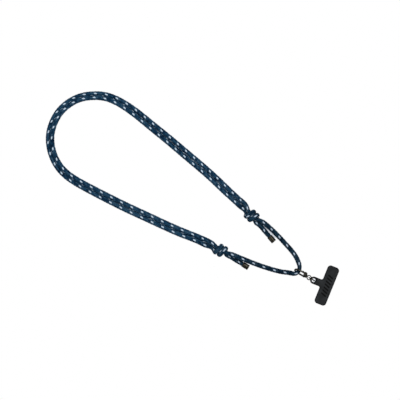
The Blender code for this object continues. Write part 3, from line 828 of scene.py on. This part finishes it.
def rope_finish(settings):
    """Braided polyester yarn: navy with slow changes of hue, paler stitches, a tracer and fine fibres, with
    painted shade darkening the grooves between stitches.
    """
    finish, tree, shader = new_finish("Braided navy yarn")
    braid = place(tree, "UVMap", uv_map="Braid")
    stitch = use_group(tree, "Braid stitches", stitch_group, {"Map": braid})
    spot = place(tree, "TexCoord", out=3)
    slow = noise(tree, spot, 55.0, 3.0)
    lint = noise(tree, spot, 2600.0, 3.0)
    mottle = line(tree, stitch["Chance"], 0.55, times(tree, slow, 0.55))
    navy = blend_colours(tree, fit(tree, mottle, 0.25, 0.60), rgba(settings.deep), rgba(settings.yarn))
    faded = fit(tree, mottle, 0.58, 0.92, 0.0, 0.75)
    body = blend_colours(tree, faded, navy, rgba(settings.light))
    fibre = line(tree, stitch["Fibre"], 0.30, times(tree, lint, 0.5))
    pale = blend_colours(tree, fit(tree, lint, 0.30, 0.62), TRACER_SHADE, rgba(settings.tracer))
    # Towards the hook the arms take a darker, less blue tint than the loop, and their pale stitches a duller
    # one
    apart = place(tree, "SeparateXYZ", {0: spot}, out=1)
    loop = fit(tree, apart, ARMS_END, LOOP_START)
    tint = blend_colours(tree, loop, rgba(settings.arm_tint), WHITE)
    body = blend_colours(tree, 1.0, body, tint, "MULTIPLY")
    tracer_arm_tint = blend_colours(tree, loop, TRACER_ON_ARMS, WHITE)
    pale = blend_colours(tree, 1.0, pale, tracer_arm_tint, "MULTIPLY")
    shown = times(tree, stitch["Pale"], fit(tree, stitch["Height"], 0.08, 0.40))
    yarn = blend_colours(tree, shown, body, pale)
    # Painted shade: the colour darkens down into the grooves between stitches, and the fine fibre stripes
    # darken it a little more
    groove = fit(tree, stitch["Height"], 0.0, 0.60, 0.20, 1.0)
    groove_shade_and_fibre = times(tree, groove, line(tree, fibre, 0.5, 0.72))
    painted_shade_and_fibre_grey = place(tree, "CombineColor", {0: groove_shade_and_fibre, 1: groove_shade_and_fibre, 2: groove_shade_and_fibre})
    colour = blend_colours(tree, 1.0, yarn, painted_shade_and_fibre_grey, "MULTIPLY")
    tree.links.new(colour, shader["Base Color"])
    tree.links.new(fit(tree, lint, 0.3, 0.7, 0.72, 0.92), shader["Roughness"])
    bump(tree, shader, 0.9, line(tree, stitch["Height"], 0.00022, times(tree, fibre, 0.00007)))
    shader["Sheen Weight"].default_value = 0.02
    shader["Sheen Roughness"].default_value = 0.45
    shader["Specular IOR Level"].default_value = 0.06
    return finish


def metal_finish(name, settings, patina, fine_scale, amount):
    """Aged brass: a dark uneven patina, rubbed bare along what sticks out."""
    finish, tree, shader = new_finish(name)
    spot = place(tree, "TexCoord", out=3)
    feeds = {"Place": spot, "Fine scale": fine_scale, "Patch scale": 260.0}
    grain = use_group(tree, "Fine grain", grain_group, feeds)
    wear = place(tree, "Attribute", out=2, attribute_name="wear")
    feeds = {"Wear": wear, "Patches": grain["Patches"], "Fine": grain["Height"], "Amount": amount}
    worn = use_group(tree, "Rubbed edges", wear_group, feeds)
    face = blend_colours(tree, grain["Patches"], rgba(patina), rgba(lighter(patina)))
    tree.links.new(blend_colours(tree, worn["Bare"], face, rgba(settings.bare)), shader["Base Color"])
    rough = fit(tree, grain["Patches"], 0.0, 1.0, settings.roughness + 0.08, settings.roughness - 0.06)
    tree.links.new(line(tree, worn["Bare"], -0.10, rough), shader["Roughness"])
    shader["Metallic"].default_value = 1.0
    bump(tree, shader, 0.5, times(tree, grain["Height"], 0.00002))
    return finish


def tab_finish(settings):
    """Moulded rubber: a matte grained face, with painted shade along its rim and round its hole, and darker,
    slightly smoother grip ribs.
    """
    finish, tree, shader = new_finish("Matte tab rubber")
    spot = place(tree, "TexCoord", out=3)
    feeds = {"Place": spot, "Fine scale": 3200.0, "Patch scale": 120.0}
    grain = use_group(tree, "Fine grain", grain_group, feeds)
    painted_rim_shade = place(tree, "Attribute", out=2, attribute_name="painted_rim_shade")
    rib = place(tree, "Attribute", out=2, attribute_name="rib")
    face = blend_colours(tree, grain["Patches"], rgba(settings.face), rgba(lighter(settings.face)))
    # Painted shade along the rim and round the hole
    rim_shaded = blend_colours(tree, painted_rim_shade, face, rgba(settings.edge))
    tree.links.new(blend_colours(tree, rib, rim_shaded, RIB_COLOUR), shader["Base Color"])
    matte = fit(tree, grain["Height"], 0.3, 0.7, 0.62, 0.78)
    edge = line(tree, painted_rim_shade, -0.18, matte)
    tree.links.new(line(tree, rib, -0.14, edge), shader["Roughness"])
    bump(tree, shader, 0.7, times(tree, grain["Height"], line(tree, rib, -0.00004, 0.00005)))
    shader["Specular IOR Level"].default_value = 0.09
    return finish


def turned(name, profile, sides, finish):
    """Solid turned round Z: each (radius, height) pair of the profile becomes one ring of corners."""
    angle = np.linspace(0, 2 * math.pi, sides, endpoint=False)
    radius, height = np.array(profile).T
    verts = np.stack(
        [
            radius[:, None] * np.cos(angle),
            radius[:, None] * np.sin(angle),
            np.repeat(height[:, None], sides, axis=1),
        ],
        axis=-1,
    )
    return add_piece(name, verts.reshape(-1, 3), grid_faces(len(radius), sides), finish)


def rounded(corners, radius, steps=5):
    """Profile with its inner corners rounded: each becomes a short parabola between its two edges."""
    corners = np.array(corners)
    before = corners[:-2] - corners[1:-1]
    after = corners[2:] - corners[1:-1]
    reach_before = np.minimum(radius, np.linalg.norm(before, axis=1) * 0.45)[:, None]
    reach_after = np.minimum(radius, np.linalg.norm(after, axis=1) * 0.45)[:, None]
    start = (corners[1:-1] + unit(before) * reach_before)[:, None]
    end = (corners[1:-1] + unit(after) * reach_after)[:, None]
    middle = corners[1:-1][:, None]
    share = np.linspace(0, 1, steps + 1)[None, :, None]
    bends = start * (1 - share) ** 2 + middle * 2 * share * (1 - share) + end * share**2
    return np.concatenate([corners[:1], bends.reshape(-1, 2), corners[-1:]])


def moved(points, matrix):
    """Points carried by a 4 by 4 matrix."""
    return points @ matrix[:3, :3].T + matrix[:3, 3]


def carry(piece, matrix):
    """Moves the corners of a mesh; its object stays at the origin."""
    mesh = piece.data
    mesh.vertices.foreach_set("co", moved(spots_of(mesh, "co"), matrix).ravel())
    mesh.update()


def frame_of(x_axis, y_axis, z_axis, origin):
    """4 by 4 matrix from three directions and a place."""
    matrix = np.eye(4)
    matrix[:3, :3] = np.column_stack([x_axis, y_axis, z_axis])
    matrix[:3, 3] = origin
    return matrix


def cast(name, shape, box, cell, finish):
    """Closed surface where shape is zero. Each grid cell that it crosses gets one corner, which is
    moved down the slope of shape onto the surface, and the four cells round a crossed edge share a face."""
    low, high = np.array(box)
    counts = np.ceil((high - low) / cell).astype(int) + 1
    axes = [low[k] + cell * np.arange(counts[k]) for k in range(3)]
    grid = np.stack(np.meshgrid(*axes, indexing="ij"), axis=-1).reshape(-1, 3)
    inside = shape(grid).reshape(counts) < 0
    corners = sum(
        inside[i : counts[0] - 1 + i, j : counts[1] - 1 + j, k : counts[2] - 1 + k].astype(int)
        for i in (0, 1)
        for j in (0, 1)
        for k in (0, 1)
    )
    active = (corners > 0) & (corners < 8)
    index = np.full(active.shape, -1)
    index[active] = np.arange(active.sum())
    verts = low + cell * (np.argwhere(active) + 0.5)
    probe = cell * 0.25
    steps = np.eye(3) * probe
    for _ in range(ROUNDS):
        value = shape(verts)
        change = [shape(verts + step) - shape(verts - step) for step in steps]
        slope = np.stack(change, axis=-1) / (2 * probe)
        steep = np.maximum((slope**2).sum(1), 0.2)
        verts = verts - slope * (np.clip(value, -cell, cell) / steep)[:, None]
    faces = []
    for axis in range(3):
        one, two = (axis + 1) % 3, (axis + 2) % 3
        start = np.take(inside, range(counts[axis] - 1), axis)
        crossed = np.argwhere(start != np.take(inside, range(1, counts[axis]), axis))
        beside = crossed[:, [one, two]]
        crossed = crossed[((beside > 0) & (beside < counts[[one, two]] - 1)).all(1)]
        quad = []
        for back_one, back_two in CELL_CORNERS:
            cells = crossed.copy()
            cells[:, one] -= back_one
            cells[:, two] -= back_two
            quad.append(index[tuple(cells.T)])
        quad = np.column_stack(quad)
        leaves = start[tuple(crossed.T)]
        faces.append(np.where(leaves[:, None], quad, quad[:, ::-1]))
    return add_piece(name, verts, np.concatenate(faces), finish)


def join_soft(one, other, width):
    """Union of two shapes with a fillet of about that width."""
    mix = np.clip(0.5 + (other - one) / (2 * width), 0, 1)
    return other + (one - other) * mix - width * mix * (1 - mix)


def cut_soft(one, tool, width):
    """Shape less a tool, with its new edges rounded by about that width."""
    return -join_soft(-one, tool, width)


def slab(points, centre, half, rounding):
    """Distance to a box with rounded edges."""
    away = np.abs(points - centre) - (np.array(half) - rounding)
    return np.linalg.norm(np.maximum(away, 0), axis=-1) + np.minimum(away.max(-1), 0) - rounding


def drum(points, axis, radius, low, high, rounding):
    """Distance to a round bar along one axis of its frame, with rounded ends; radius may vary by point."""
    others = [k for k in range(3) if k != axis]
    out = np.linalg.norm(points[:, others], axis=1) - (radius - rounding)
    end = np.abs(points[:, axis] - (low + high) / 2) - ((high - low) / 2 - rounding)
    return np.hypot(np.maximum(out, 0), np.maximum(end, 0)) + np.minimum(np.maximum(out, end), 0) - rounding


def hook_bar(points):
    """Distance to the hook's bar: straight up the spine, then an arc over the nose, a little thinner
    at its tip. The nearest point of its middle line is found by angle on the arc and by height below it."""
    x, y, z = points.T
    angle = np.arctan2(y - NOSE_CENTRE, x)
    angle = np.where(angle < -math.pi / 2, math.pi, angle)
    angle = np.clip(angle, NOSE_LIP, math.pi)
    over = np.hypot(x - RAIL * np.cos(angle), y - NOSE_CENTRE - RAIL * np.sin(angle))
    height = np.clip(y, -BASE_EDGE, NOSE_CENTRE)
    up = np.hypot(x + RAIL, y - height)
    wire = HOOK_WIRE / 2 * (1 - NOSE_TAPER * smoothstep(-angle, -1.3, -NOSE_LIP))
    return np.minimum(np.hypot(over, z) - wire, np.hypot(up, z) - HOOK_WIRE / 2)


def hook_shape(points):
    """Hook body: bar, bowed base, ringed barrel and the fork for the gate, less slot, bore and pin hole."""
    x, y, z = points.T
    slope = BASE_SLOPE[0] * (np.abs(x) - BASE_HALF) - BASE_SLOPE[1] * (y + BASE_EDGE)
    sides = np.maximum(np.abs(x) - BASE_HALF - 0.0003, slope)
    flat = np.maximum(sides, np.abs(y + BASE_LENGTH / 2) - BASE_LENGTH / 2)
    thick = np.abs(z) - BASE_HALF_THICKNESS
    base = -join_soft(-flat, -thick, BASE_ROUNDING)
    wave = np.cos((y + 0.0003) * 2 * math.pi / BARREL_GROOVE_STEP)
    ring = BARREL_GROOVE * smoothstep(wave, 0.2, 0.95)
    barrel = drum(points, 1, BARREL_RADIUS - ring, -BASE_LENGTH - 0.0002, -0.0001, 0.0003)
    body = join_soft(base, barrel, 0.0005)
    body = join_soft(body, hook_bar(points), 0.0006)
    pivot = points - (PIVOT[0] + EAR_SHIFT, PIVOT[1], 0)
    ear = drum(pivot, 2, EAR_RADIUS, -SLOT_HALF - CHEEK, SLOT_HALF + CHEEK, 0.0003)
    foot = slab(points, (PIVOT[0], -0.0002, 0), (EAR_RADIUS, 0.0012, SLOT_HALF + CHEEK), 0.0003)
    body = join_soft(body, join_soft(ear, foot, 0.0006), 0.0004)
    slot = slab(points, SLOT_MIDDLE, (*SLOT_REACH, SLOT_HALF), 0.0002)
    body = cut_soft(body, slot, 0.00012)
    bore = np.hypot(x, z) - (POST_RADIUS + CLEARANCE)
    body = cut_soft(body, bore, 0.0002)
    hole = np.hypot(x - PIVOT[0], y - PIVOT[1]) - PIN_HOLE_RADIUS
    return cut_soft(body, hole, 0.0001)


def gate_shape(points):
    """Gate, from its pin: knuckle, slightly hollowed leaf, ridged thumb lever and riveted pin."""
    x, y, z = points.T
    knuckle = drum(points, 2, KNUCKLE_RADIUS, -GATE_HALF, GATE_HALF, 0.00018)
    middle = (LEAF[0] + LEAF[1]) / 2
    leaf = slab(points, (middle, GATE_TIP / 2, 0), ((LEAF[1] - LEAF[0]) / 2, GATE_TIP / 2, GATE_HALF), 0.0003)
    gate = join_soft(knuckle, leaf, 0.0005)
    lean = x - LEAF[1] - THUMB_REACH * 0.45
    ridge = THUMB_RIDGE * np.cos((y - 0.0033) * 2 * math.pi / THUMB_RIDGE_STEP)
    ridged = smoothstep(x, LEAF[1] + 0.0006, LEAF[1] + 0.0012)
    bulge = np.hypot((y - THUMB_MIDDLE) / THUMB_STRETCH, lean) - THUMB_RADIUS - ridge * ridged
    width = np.abs(z) - GATE_HALF
    thumb = -join_soft(-bulge, -width, 0.0003)
    gate = join_soft(gate, thumb, 0.0006)
    hollow = slab(points, (LEAF[1], HOLLOW_Y, 0), HOLLOW_HALF, 0.0001)
    gate = cut_soft(gate, hollow, 0.0001)
    reach = SLOT_HALF + CHEEK
    pin = drum(points, 2, PIN_RADIUS, -reach, reach, 0.0001)
    over = (np.abs(z) - reach - PIN_HEAD_RISE) * PIN_HEAD_FLATNESS
    dome = np.linalg.norm(np.column_stack([x, y, over]), axis=1) - PIN_HEAD_RADIUS
    return np.minimum(gate, np.minimum(pin, dome * 0.5))


def eye_shape(points):
    """Swivel eye, from its centre: a ring that thickens into a collared, headed post."""
    x, y, z = points.T
    out = np.hypot(x, y)
    wire = EYE_WIRE / 2 * (1 + EYE_SWELL * smoothstep(y / np.maximum(out, 1e-6), 0.4, 1.0))
    ring = np.hypot(out - EYE_MIDDLE, z) - wire
    post = drum(points, 1, POST_RADIUS, EYE_MIDDLE, EYE_NECK + 0.0003, 0.0001)
    head = drum(points, 1, POST_HEAD_RADIUS, EYE_NECK, EYE_NECK + POST_HEAD_LENGTH, 0.0003)
    return np.minimum(join_soft(ring, post, 0.0006), head)


def hook_matrix():
    """The hook's frame, from the gate's hinge: its axis is Z, and Y points along the strap to the nose."""
    hinge = next(joint for joint in frame["joints"] if joint["name"] == "gate_hinge")
    out = unit(np.array(hinge["axis"], dtype=float))
    nose = np.array([0.0, 1.0, 0.0])
    across = np.cross(nose, out)
    pivot = np.array(hinge["pos_m"], dtype=float)
    return frame_of(across, nose, out, pivot - across * PIVOT[0] - nose * PIVOT[1]), pivot


def node_middle(node):
    """Middle of a solid's box."""
    low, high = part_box(node)
    return (np.array(low) + np.array(high)) / 2


def fit_metal(piece, matrix, wear, body, node, rounds=2):
    """Puts a metal piece in its place, closes its mesh and marks its rubbed edges; it rides on its body."""
    carry(piece, matrix)
    tidy(piece)
    mark_wear(piece, *wear, rounds)
    dress(piece, body, "aged_brass", node)


def knot_sides(centres, stations, chord, starts):
    """Which rings lie in the wraps, and each ring's way out from the axis of the knot on its half."""
    in_wraps = np.zeros(len(centres), dtype=bool)
    outward = np.zeros_like(centres)
    half = len(centres) // 2
    for name, after, knot, heading, part in (
        ("upper wraps", "upper entry", UPPER_KNOT, UPPER_HEADING, slice(0, half)),
        ("lower wraps", "lower exit", LOWER_KNOT, LOWER_HEADING, slice(half, None)),
    ):
        in_wraps |= (stations > chord[starts[name]]) & (stations < chord[starts[after]])
        way = np.array([math.cos(heading), math.sin(heading), 0.0])
        away = centres[part] - (*knot, KNOT_AXIS_HEIGHT)
        outward[part] = away - np.outer(away @ way, way)
    return in_wraps, outward


def map_braid(mesh, stitches, around):
    """Map of the braid: the place across its columns and along its stitches, with nothing on the ends."""
    row, side = np.meshgrid(np.arange(len(stitches) - 1), np.arange(around), indexing="ij")
    left, right = side / SIDES_PER_COLUMN, (side + 1) / SIDES_PER_COLUMN
    low, high = stitches[row], stitches[row + 1]
    corners = np.stack([left, low, right, low, right, high, left, high], axis=-1).ravel()
    corners = np.concatenate([corners, np.zeros(4 * around)])
    layer = mesh.uv_layers.new(name="Braid")
    layer.data.foreach_set("uv", corners.astype(np.float32))


class STRAP_OT_rope(Operator):
    """Braided rope with its two sliding knots and both tails"""

    bl_idname = "phone_strap.rope"
    bl_label = "Rope and Knots"

    def execute(self, context):
        settings = context.scene.phone_strap.rope
        centres, section, stations, stitches, chord, starts = rope_rings(settings.stitch)
        in_wraps, outward = knot_sides(centres, stations, chord, starts)
        ahead, one, two = ring_frames(centres, in_wraps)
        outward -= (outward * ahead).sum(1)[:, None] * ahead
        outward /= np.maximum(np.linalg.norm(outward, axis=1), 1e-4)[:, None]

        around = COLUMNS * SIDES_PER_COLUMN
        column = np.arange(around) / SIDES_PER_COLUMN
        angle = (column - 0.5) * 2 * math.pi / COLUMNS
        spoke = one[:, None] * np.cos(angle)[:, None] + two[:, None] * np.sin(angle)[:, None]
        crest = stitch_height(column[None, :], stitches[:, None])
        lift = 1 + (crest - MIDDLE_HEIGHT) * settings.relief / ROPE_RADIUS
        flat = (spoke * outward[:, None]).sum(-1, keepdims=True) * outward[:, None]
        wide = section[:, None, 1:] / 2
        thin = section[:, None, :1] / 2
        rings = centres[:, None] + (spoke * wide + flat * (thin - wide)) * lift[:, :, None]
        rings[:, :, 2] = np.maximum(rings[:, :, 2], FLOOR_GAP / 2)
        faces = grid_faces(len(centres), around)
        ends = end_faces(len(centres), around)
        rope = add_piece("braided_rope", rings.reshape(-1, 3), faces, rope_finish(settings), ends)
        map_braid(rope.data, stitches, around)
        dress(rope, "root", "navy_rope", "rope", "knot_upper", "knot_lower")
        return {"FINISHED"}


class STRAP_OT_caps(Operator):
    """End caps: cups with a rolled lip, two crimped grooves and a domed end"""

    bl_idname = "phone_strap.caps"
    bl_label = "End Caps"

    def execute(self, context):
        settings = context.scene.phone_strap.metal
        finish = metal_finish("Aged cap metal", settings, tuple(settings.patina), 5200.0, 0.9)
        inside = [(0, CAP_DEPTH), (CAP_BORE, CAP_DEPTH), (CAP_BORE, 0.0004), (CAP_BORE + 0.0003, 0.0)]
        outside = [
            (CAP_OUTER, 0.0),
            (CAP_OUTER + 0.0001, 0.0007),
            (CAP_OUTER - CAP_GROOVE, 0.0010),
            (CAP_OUTER - CAP_GROOVE, 0.0014),
            (CAP_OUTER, 0.0017),
            (CAP_OUTER, 0.0062),
            (CAP_OUTER - CAP_GROOVE, 0.0065),
            (CAP_OUTER - CAP_GROOVE, 0.0069),
            (CAP_OUTER, 0.0072),
            (CAP_OUTER, CAP_LENGTH - 0.0002),
            (CAP_OUTER - 0.0009, CAP_LENGTH),
            (0, CAP_LENGTH + 0.00005),
        ]
        profile = rounded(inside + outside, CAP_ROUNDING)
        for name, node, tail in (
            ("upper_end_cap", "end_cap_upper", UPPER_TAIL),
            ("lower_end_cap", "end_cap_lower", LOWER_TAIL),
        ):
            before, end = floor_points(tail[-2:])
            way = unit(end - before)
            side = unit(np.cross((0.0, 0.0, 1.0), way))
            matrix = frame_of(np.cross(side, way), side, way, end - way * TAIL_IN_CAP)
            fit_metal(turned(name, profile, CAP_SIDES, finish), matrix, (500, 2600), "root", node, rounds=1)
        return {"FINISHED"}


class STRAP_OT_hook(Operator):
    """Trigger hook: its body and its sprung gate"""

    bl_idname = "phone_strap.hook"
    bl_label = "Hook and Gate"

    def execute(self, context):
        settings = context.scene.phone_strap.metal
        finish = metal_finish("Aged hook metal", settings, tuple(settings.patina), 3800.0, 1.0)
        matrix, pivot = hook_matrix()
        body = cast("hook_frame", hook_shape, HOOK_BOX, settings.cell, finish)
        fit_metal(body, matrix, (700, 2600), "root", "hook_body")
        gate = cast("sprung_gate", gate_shape, GATE_BOX, settings.cell * SMALL_CELL, finish)
        gate_matrix = matrix.copy()
        gate_matrix[:3, 3] = pivot
        fit_metal(gate, gate_matrix, (700, 3000), "gate", "gate")
        return {"FINISHED"}


class STRAP_OT_swivel(Operator):
    """Swivel eye and the jump ring on it"""

    bl_idname = "phone_strap.swivel"
    bl_label = "Swivel and Ring"

    def execute(self, context):
        settings = context.scene.phone_strap.metal
        patina = tuple(1.1 * part for part in settings.patina)
        finish = metal_finish("Aged ring metal", settings, patina, 4200.0, 0.7)
        matrix, _ = hook_matrix()
        low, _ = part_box("swivel_eye")
        centre = np.array([matrix[0, 3], low[1] + EYE_MIDDLE + EYE_WIRE / 2, matrix[2, 3]])
        eye = cast("swivel_eye_ring", eye_shape, EYE_BOX, settings.cell * SMALL_CELL, finish)
        fit_metal(eye, frame_of((1, 0, 0), (0, 1, 0), (0, 0, 1), centre), (900, 3200), "swivel", "swivel_eye")

        turn = np.linspace(RING_SLIT, 2 * math.pi - RING_SLIT, RING_STEPS)[:, None] + RING_TURN
        around = np.linspace(0, 2 * math.pi, RING_SIDES, endpoint=False)[None, :]
        out = RING_MIDDLE + RING_WIRE / 2 * np.cos(around)
        beside = RING_WIRE / 2 * np.sin(around) + RING_SPRING * (turn - turn.mean()) / math.pi
        verts = np.stack([beside, out * np.sin(turn), out * np.cos(turn)], axis=-1).reshape(-1, 3)
        faces = grid_faces(RING_STEPS, RING_SIDES)
        ends = end_faces(RING_STEPS, RING_SIDES)
        ring = add_piece("split_jump_ring", verts + node_middle("jump_ring"), faces, finish, ends)
        fit_metal(ring, np.eye(4), (1200, 3200), "swivel", "jump_ring")
        return {"FINISHED"}


def tab_distance(x, y):
    """Distance to the tab's outline about the middle of its bar, less than 0 inside: a bar with rounded
    corners, joined with a fillet to a stem with a round end, less the hole."""
    away = np.stack([np.abs(x), np.abs(y)], axis=-1) - (np.array(TAB_BAR) / 2 - TAB_CORNER)
    bar = np.linalg.norm(np.maximum(away, 0), axis=-1) + np.minimum(away.max(-1), 0) - TAB_CORNER
    stem = np.hypot(x, y - np.clip(y, 0, TAB_HOLE_Y)) - TAB_STEM / 2
    corner = np.hypot(np.maximum(TAB_FILLET - bar, 0), np.maximum(TAB_FILLET - stem, 0))
    joined = np.maximum(TAB_FILLET, np.minimum(bar, stem)) - corner
    return np.maximum(joined, TAB_HOLE / 2 - np.hypot(x, y - TAB_HOLE_Y))


def tab_grid():
    """Even grid over the tab, with its rim moved onto the outline: x, y, the whole cells, the corners
    in use and those on the rim."""
    half = TAB_BAR[0] / 2 + TAB_CELL
    xs = np.arange(-half, half, TAB_CELL)
    ys = np.arange(-TAB_BAR[1] / 2 - TAB_CELL, TAB_HEIGHT - TAB_BAR[1] / 2 + 2 * TAB_CELL, TAB_CELL)
    x, y = np.meshgrid(xs, ys, indexing="ij")
    keep = tab_distance(x, y) < TAB_CELL * 0.45
    whole = keep[:-1, :-1] & keep[1:, :-1] & keep[1:, 1:] & keep[:-1, 1:]
    used = np.zeros_like(keep)
    missing = np.ones_like(keep)
    missing[1:-1, 1:-1] = False
    rows, columns = whole.shape
    for i, j in CELL_CORNERS:
        corner = (slice(i, rows + i), slice(j, columns + j))
        used[corner] |= whole
        missing[corner] |= ~whole
    rim = used & missing
    probe = TAB_CELL / 12
    for _ in range(ROUNDS):
        here = tab_distance(x, y)
        slope_x = (tab_distance(x + probe, y) - tab_distance(x - probe, y)) / (2 * probe)
        slope_y = (tab_distance(x, y + probe) - tab_distance(x, y - probe)) / (2 * probe)
        x = np.where(rim, x - slope_x * here, x)
        y = np.where(rim, y - slope_y * here, y)
    return x, y, whole, used, rim


class STRAP_OT_tab(Operator):
    """Flat T-shaped phone tab"""

    bl_idname = "phone_strap.tab"
    bl_label = "Phone Tab"

    def execute(self, context):
        settings = context.scene.phone_strap.tab
        x, y, whole, used, rim = tab_grid()
        reach = np.where(rim, 0.0, tab_distance(x, y))
        depth = np.clip(-reach, 0, None)
        edge = np.clip(depth / TAB_ROUNDING, 0, 1)
        half_thickness = TAB_THICKNESS / 2 * np.sqrt(1 - (1 - edge) ** 2)
        lip = TAB_LIP * smoothstep(depth, 0.0003, 0.0006) * smoothstep(-depth, -0.0015, -0.0011)
        ribs = self.ribs(settings, x, y)
        top = half_thickness + lip + settings.rib_height * ribs
        start = TAB_BAR[1] / 2
        end = TAB_HEIGHT - TAB_BAR[1] / 2
        rise = TAB_THICKNESS / 2 + TAB_LIFT * np.clip((y - start) / (end - start), 0, 1) ** TAB_BEND

        number = np.full(used.shape, -1)
        number[used] = np.arange(used.sum())
        count = int(used.sum())
        under = number.copy()
        inner = used & ~rim
        under[inner] = count + np.arange(inner.sum())
        cells = np.argwhere(whole)
        corners = [cells + offset for offset in CELL_CORNERS]
        upper = np.column_stack([number[tuple(c.T)] for c in corners])
        lower = np.column_stack([under[tuple(c.T)] for c in corners])[:, ::-1]
        level = np.where(rim, rise, rise + top)[used]
        verts = np.concatenate(
            [
                np.column_stack([x[used], y[used], level]),
                np.column_stack([x[inner], y[inner], (rise - half_thickness)[inner]]),
            ]
        )
        tab = add_piece("phone_tab_plate", verts, np.concatenate([upper, lower]), tab_finish(settings))
        # Painted shade: the colour darkens within about 2 mm of the rim and in a ring just outside the hole
        dark = 1 - smoothstep(depth, 0.0001, 0.0018)
        hole = np.hypot(x, y - TAB_HOLE_Y)
        dark = np.maximum(dark, 1 - smoothstep(hole, 0.0034, 0.0042))
        mark(tab, "painted_rim_shade", np.concatenate([dark[used], dark[inner]]))
        mark(tab, "rib", np.concatenate([smoothstep(ribs, 0.2, 0.7)[used], np.zeros(int(inner.sum()))]))

        ring = node_middle("jump_ring")
        hole_y = ring[1] - RING_MIDDLE * RING_IN_HOLE
        turn, tilt = math.cos(TAB_TURN), math.sin(TAB_TURN)
        way = np.array([-tilt, turn, 0.0])
        origin = np.array([ring[0], hole_y, 0]) - way * TAB_HOLE_Y
        carry(tab, frame_of((turn, tilt, 0), way, (0, 0, 1), origin))
        dress(tab, "swivel", "tab_rubber", "phone_tab")
        return {"FINISHED"}

    @staticmethod
    def ribs(settings, x, y):
        """Slanted grip ribs in a row along the bar, each a rounded bump round a short line."""
        height = np.zeros_like(x)
        for centre in np.linspace(-RIB_ROW, RIB_ROW, settings.ribs):
            along = x - centre - RIB_LEAN * y
            ends = np.maximum(np.abs(y + 0.0004) - 0.0028, 0)
            height = np.maximum(height, 1 - smoothstep(np.hypot(along, ends), 0.00080, 0.00125))
        return height


def aim(spot, target):
    """Matrix of a light at a spot that shines on a target, down its own Z axis."""
    way = Vector(spot) - Vector(target)
    matrix = way.to_track_quat("Z", "Y").to_matrix().to_4x4()
    matrix.translation = spot
    return matrix


class STRAP_OT_stage(Operator):
    """Floor, lights and camera"""

    bl_idname = "phone_strap.stage"
    bl_label = "Stage"

    def execute(self, context):
        scene = context.scene
        settings = scene.phone_strap.stage
        corners = np.array([(-1, -1, 0), (1, -1, 0), (1, 1, 0), (-1, 1, 0)]) * FLOOR_HALF
        finish, tree, shader = new_finish("Pale floor")
        shader["Base Color"].default_value = rgba((0, 0, 0))
        shader["Specular IOR Level"].default_value = 0.0
        seen = tree.nodes.new("ShaderNodeLightPath").outputs["Is Camera Ray"]
        bounce = tree.nodes.new("ShaderNodeBsdfDiffuse")
        bounce.inputs["Color"].default_value = FLOOR_BOUNCE
        open_floor = place(tree, "AmbientOcclusion", {"Distance": FLOOR_SHADE_REACH}, out=1, samples=8)
        lit = fit(tree, open_floor, 0.10, 0.42)
        tree.links.new(blend_colours(tree, lit, FLOOR_SHADE, WHITE), shader["Emission Color"])
        tree.links.new(lit, shader["Emission Strength"])
        mix = tree.nodes.new("ShaderNodeMixShader")
        tree.links.new(seen, mix.inputs[0])
        tree.links.new(bounce.outputs[0], mix.inputs[1])
        tree.links.new(tree.nodes["Principled BSDF"].outputs[0], mix.inputs[2])
        tree.links.new(mix.outputs[0], tree.nodes["Material Output"].inputs["Surface"])
        floor = add_piece("floor", corners, np.array([[0, 1, 2, 3]]), finish)

        world = bpy.data.worlds.new("Studio")
        world.use_nodes = True
        sky = world.node_tree.nodes["Background"].inputs
        sky["Color"].default_value = WHITE
        sky["Strength"].default_value = settings.sky
        scene.world = world
        for name, spot, size, power, colour in (
            ("key_light", (0.75, -0.15, 1.25), 0.9, settings.key, (1.0, 0.99, 0.97)),
            ("fill_light", (-0.9, 0.5, 1.0), 0.8, settings.key * FILL_SHARE, (0.95, 0.98, 1.0)),
        ):
            lamp = bpy.data.lights.new(name, "AREA")
            lamp.shape = "DISK"
            lamp.size = size
            lamp.energy = power
            lamp.color = colour
            light = bpy.data.objects.new(name, lamp)
            scene.collection.objects.link(light)
            light.matrix_world = aim(spot, (0, 0, 0))

        camera = bpy.data.objects.new("camera", bpy.data.cameras.new("camera"))
        camera.data.lens = LENS
        camera.data.sensor_width = SENSOR
        camera.location = (*CAMERA_SPOT, settings.height)
        camera.rotation_euler = (0, 0, CAMERA_TURN)
        scene.collection.objects.link(camera)
        scene.camera = camera
        scene.view_settings.view_transform = "Standard"
        return {"FINISHED"}


class STRAP_PT_panel(Panel):
    """Settings and pieces of the strap"""

    bl_idname = "STRAP_PT_panel"
    bl_label = "Phone Strap"
    bl_space_type = "VIEW_3D"
    bl_region_type = "UI"
    bl_category = "Phone Strap"

    def draw(self, context):
        settings = context.scene.phone_strap
        for title, group in (
            ("Rope", settings.rope),
            ("Metal", settings.metal),
            ("Tab", settings.tab),
            ("Stage", settings.stage),
        ):
            box = self.layout.box()
            box.label(text=title)
            for key in group.__annotations__:
                box.prop(group, key)
        for operator in OPERATORS:
            self.layout.operator(operator.bl_idname)


OPERATORS = (STRAP_OT_caps, STRAP_OT_rope, STRAP_OT_hook, STRAP_OT_swivel, STRAP_OT_tab, STRAP_OT_stage)
SETTINGS = (RopeSettings, MetalSettings, TabSettings, StageSettings, StrapSettings)
CLASSES = (*SETTINGS, *OPERATORS, STRAP_PT_panel)


def register():
    """Registers the classes and puts the settings on the scene."""
    for kind in CLASSES:
        bpy.utils.register_class(kind)
    bpy.types.Scene.phone_strap = PointerProperty(type=StrapSettings)


def unregister():
    """Takes the settings off the scene and the classes out."""
    del bpy.types.Scene.phone_strap
    for kind in reversed(CLASSES):
        bpy.utils.unregister_class(kind)


def main():
    """Builds every piece and the stage."""
    register()
    bpy.ops.phone_strap.caps()
    bpy.ops.phone_strap.rope()
    bpy.ops.phone_strap.hook()
    bpy.ops.phone_strap.swivel()
    bpy.ops.phone_strap.tab()
    bpy.ops.phone_strap.stage()


if __name__ == "__main__":
    main()
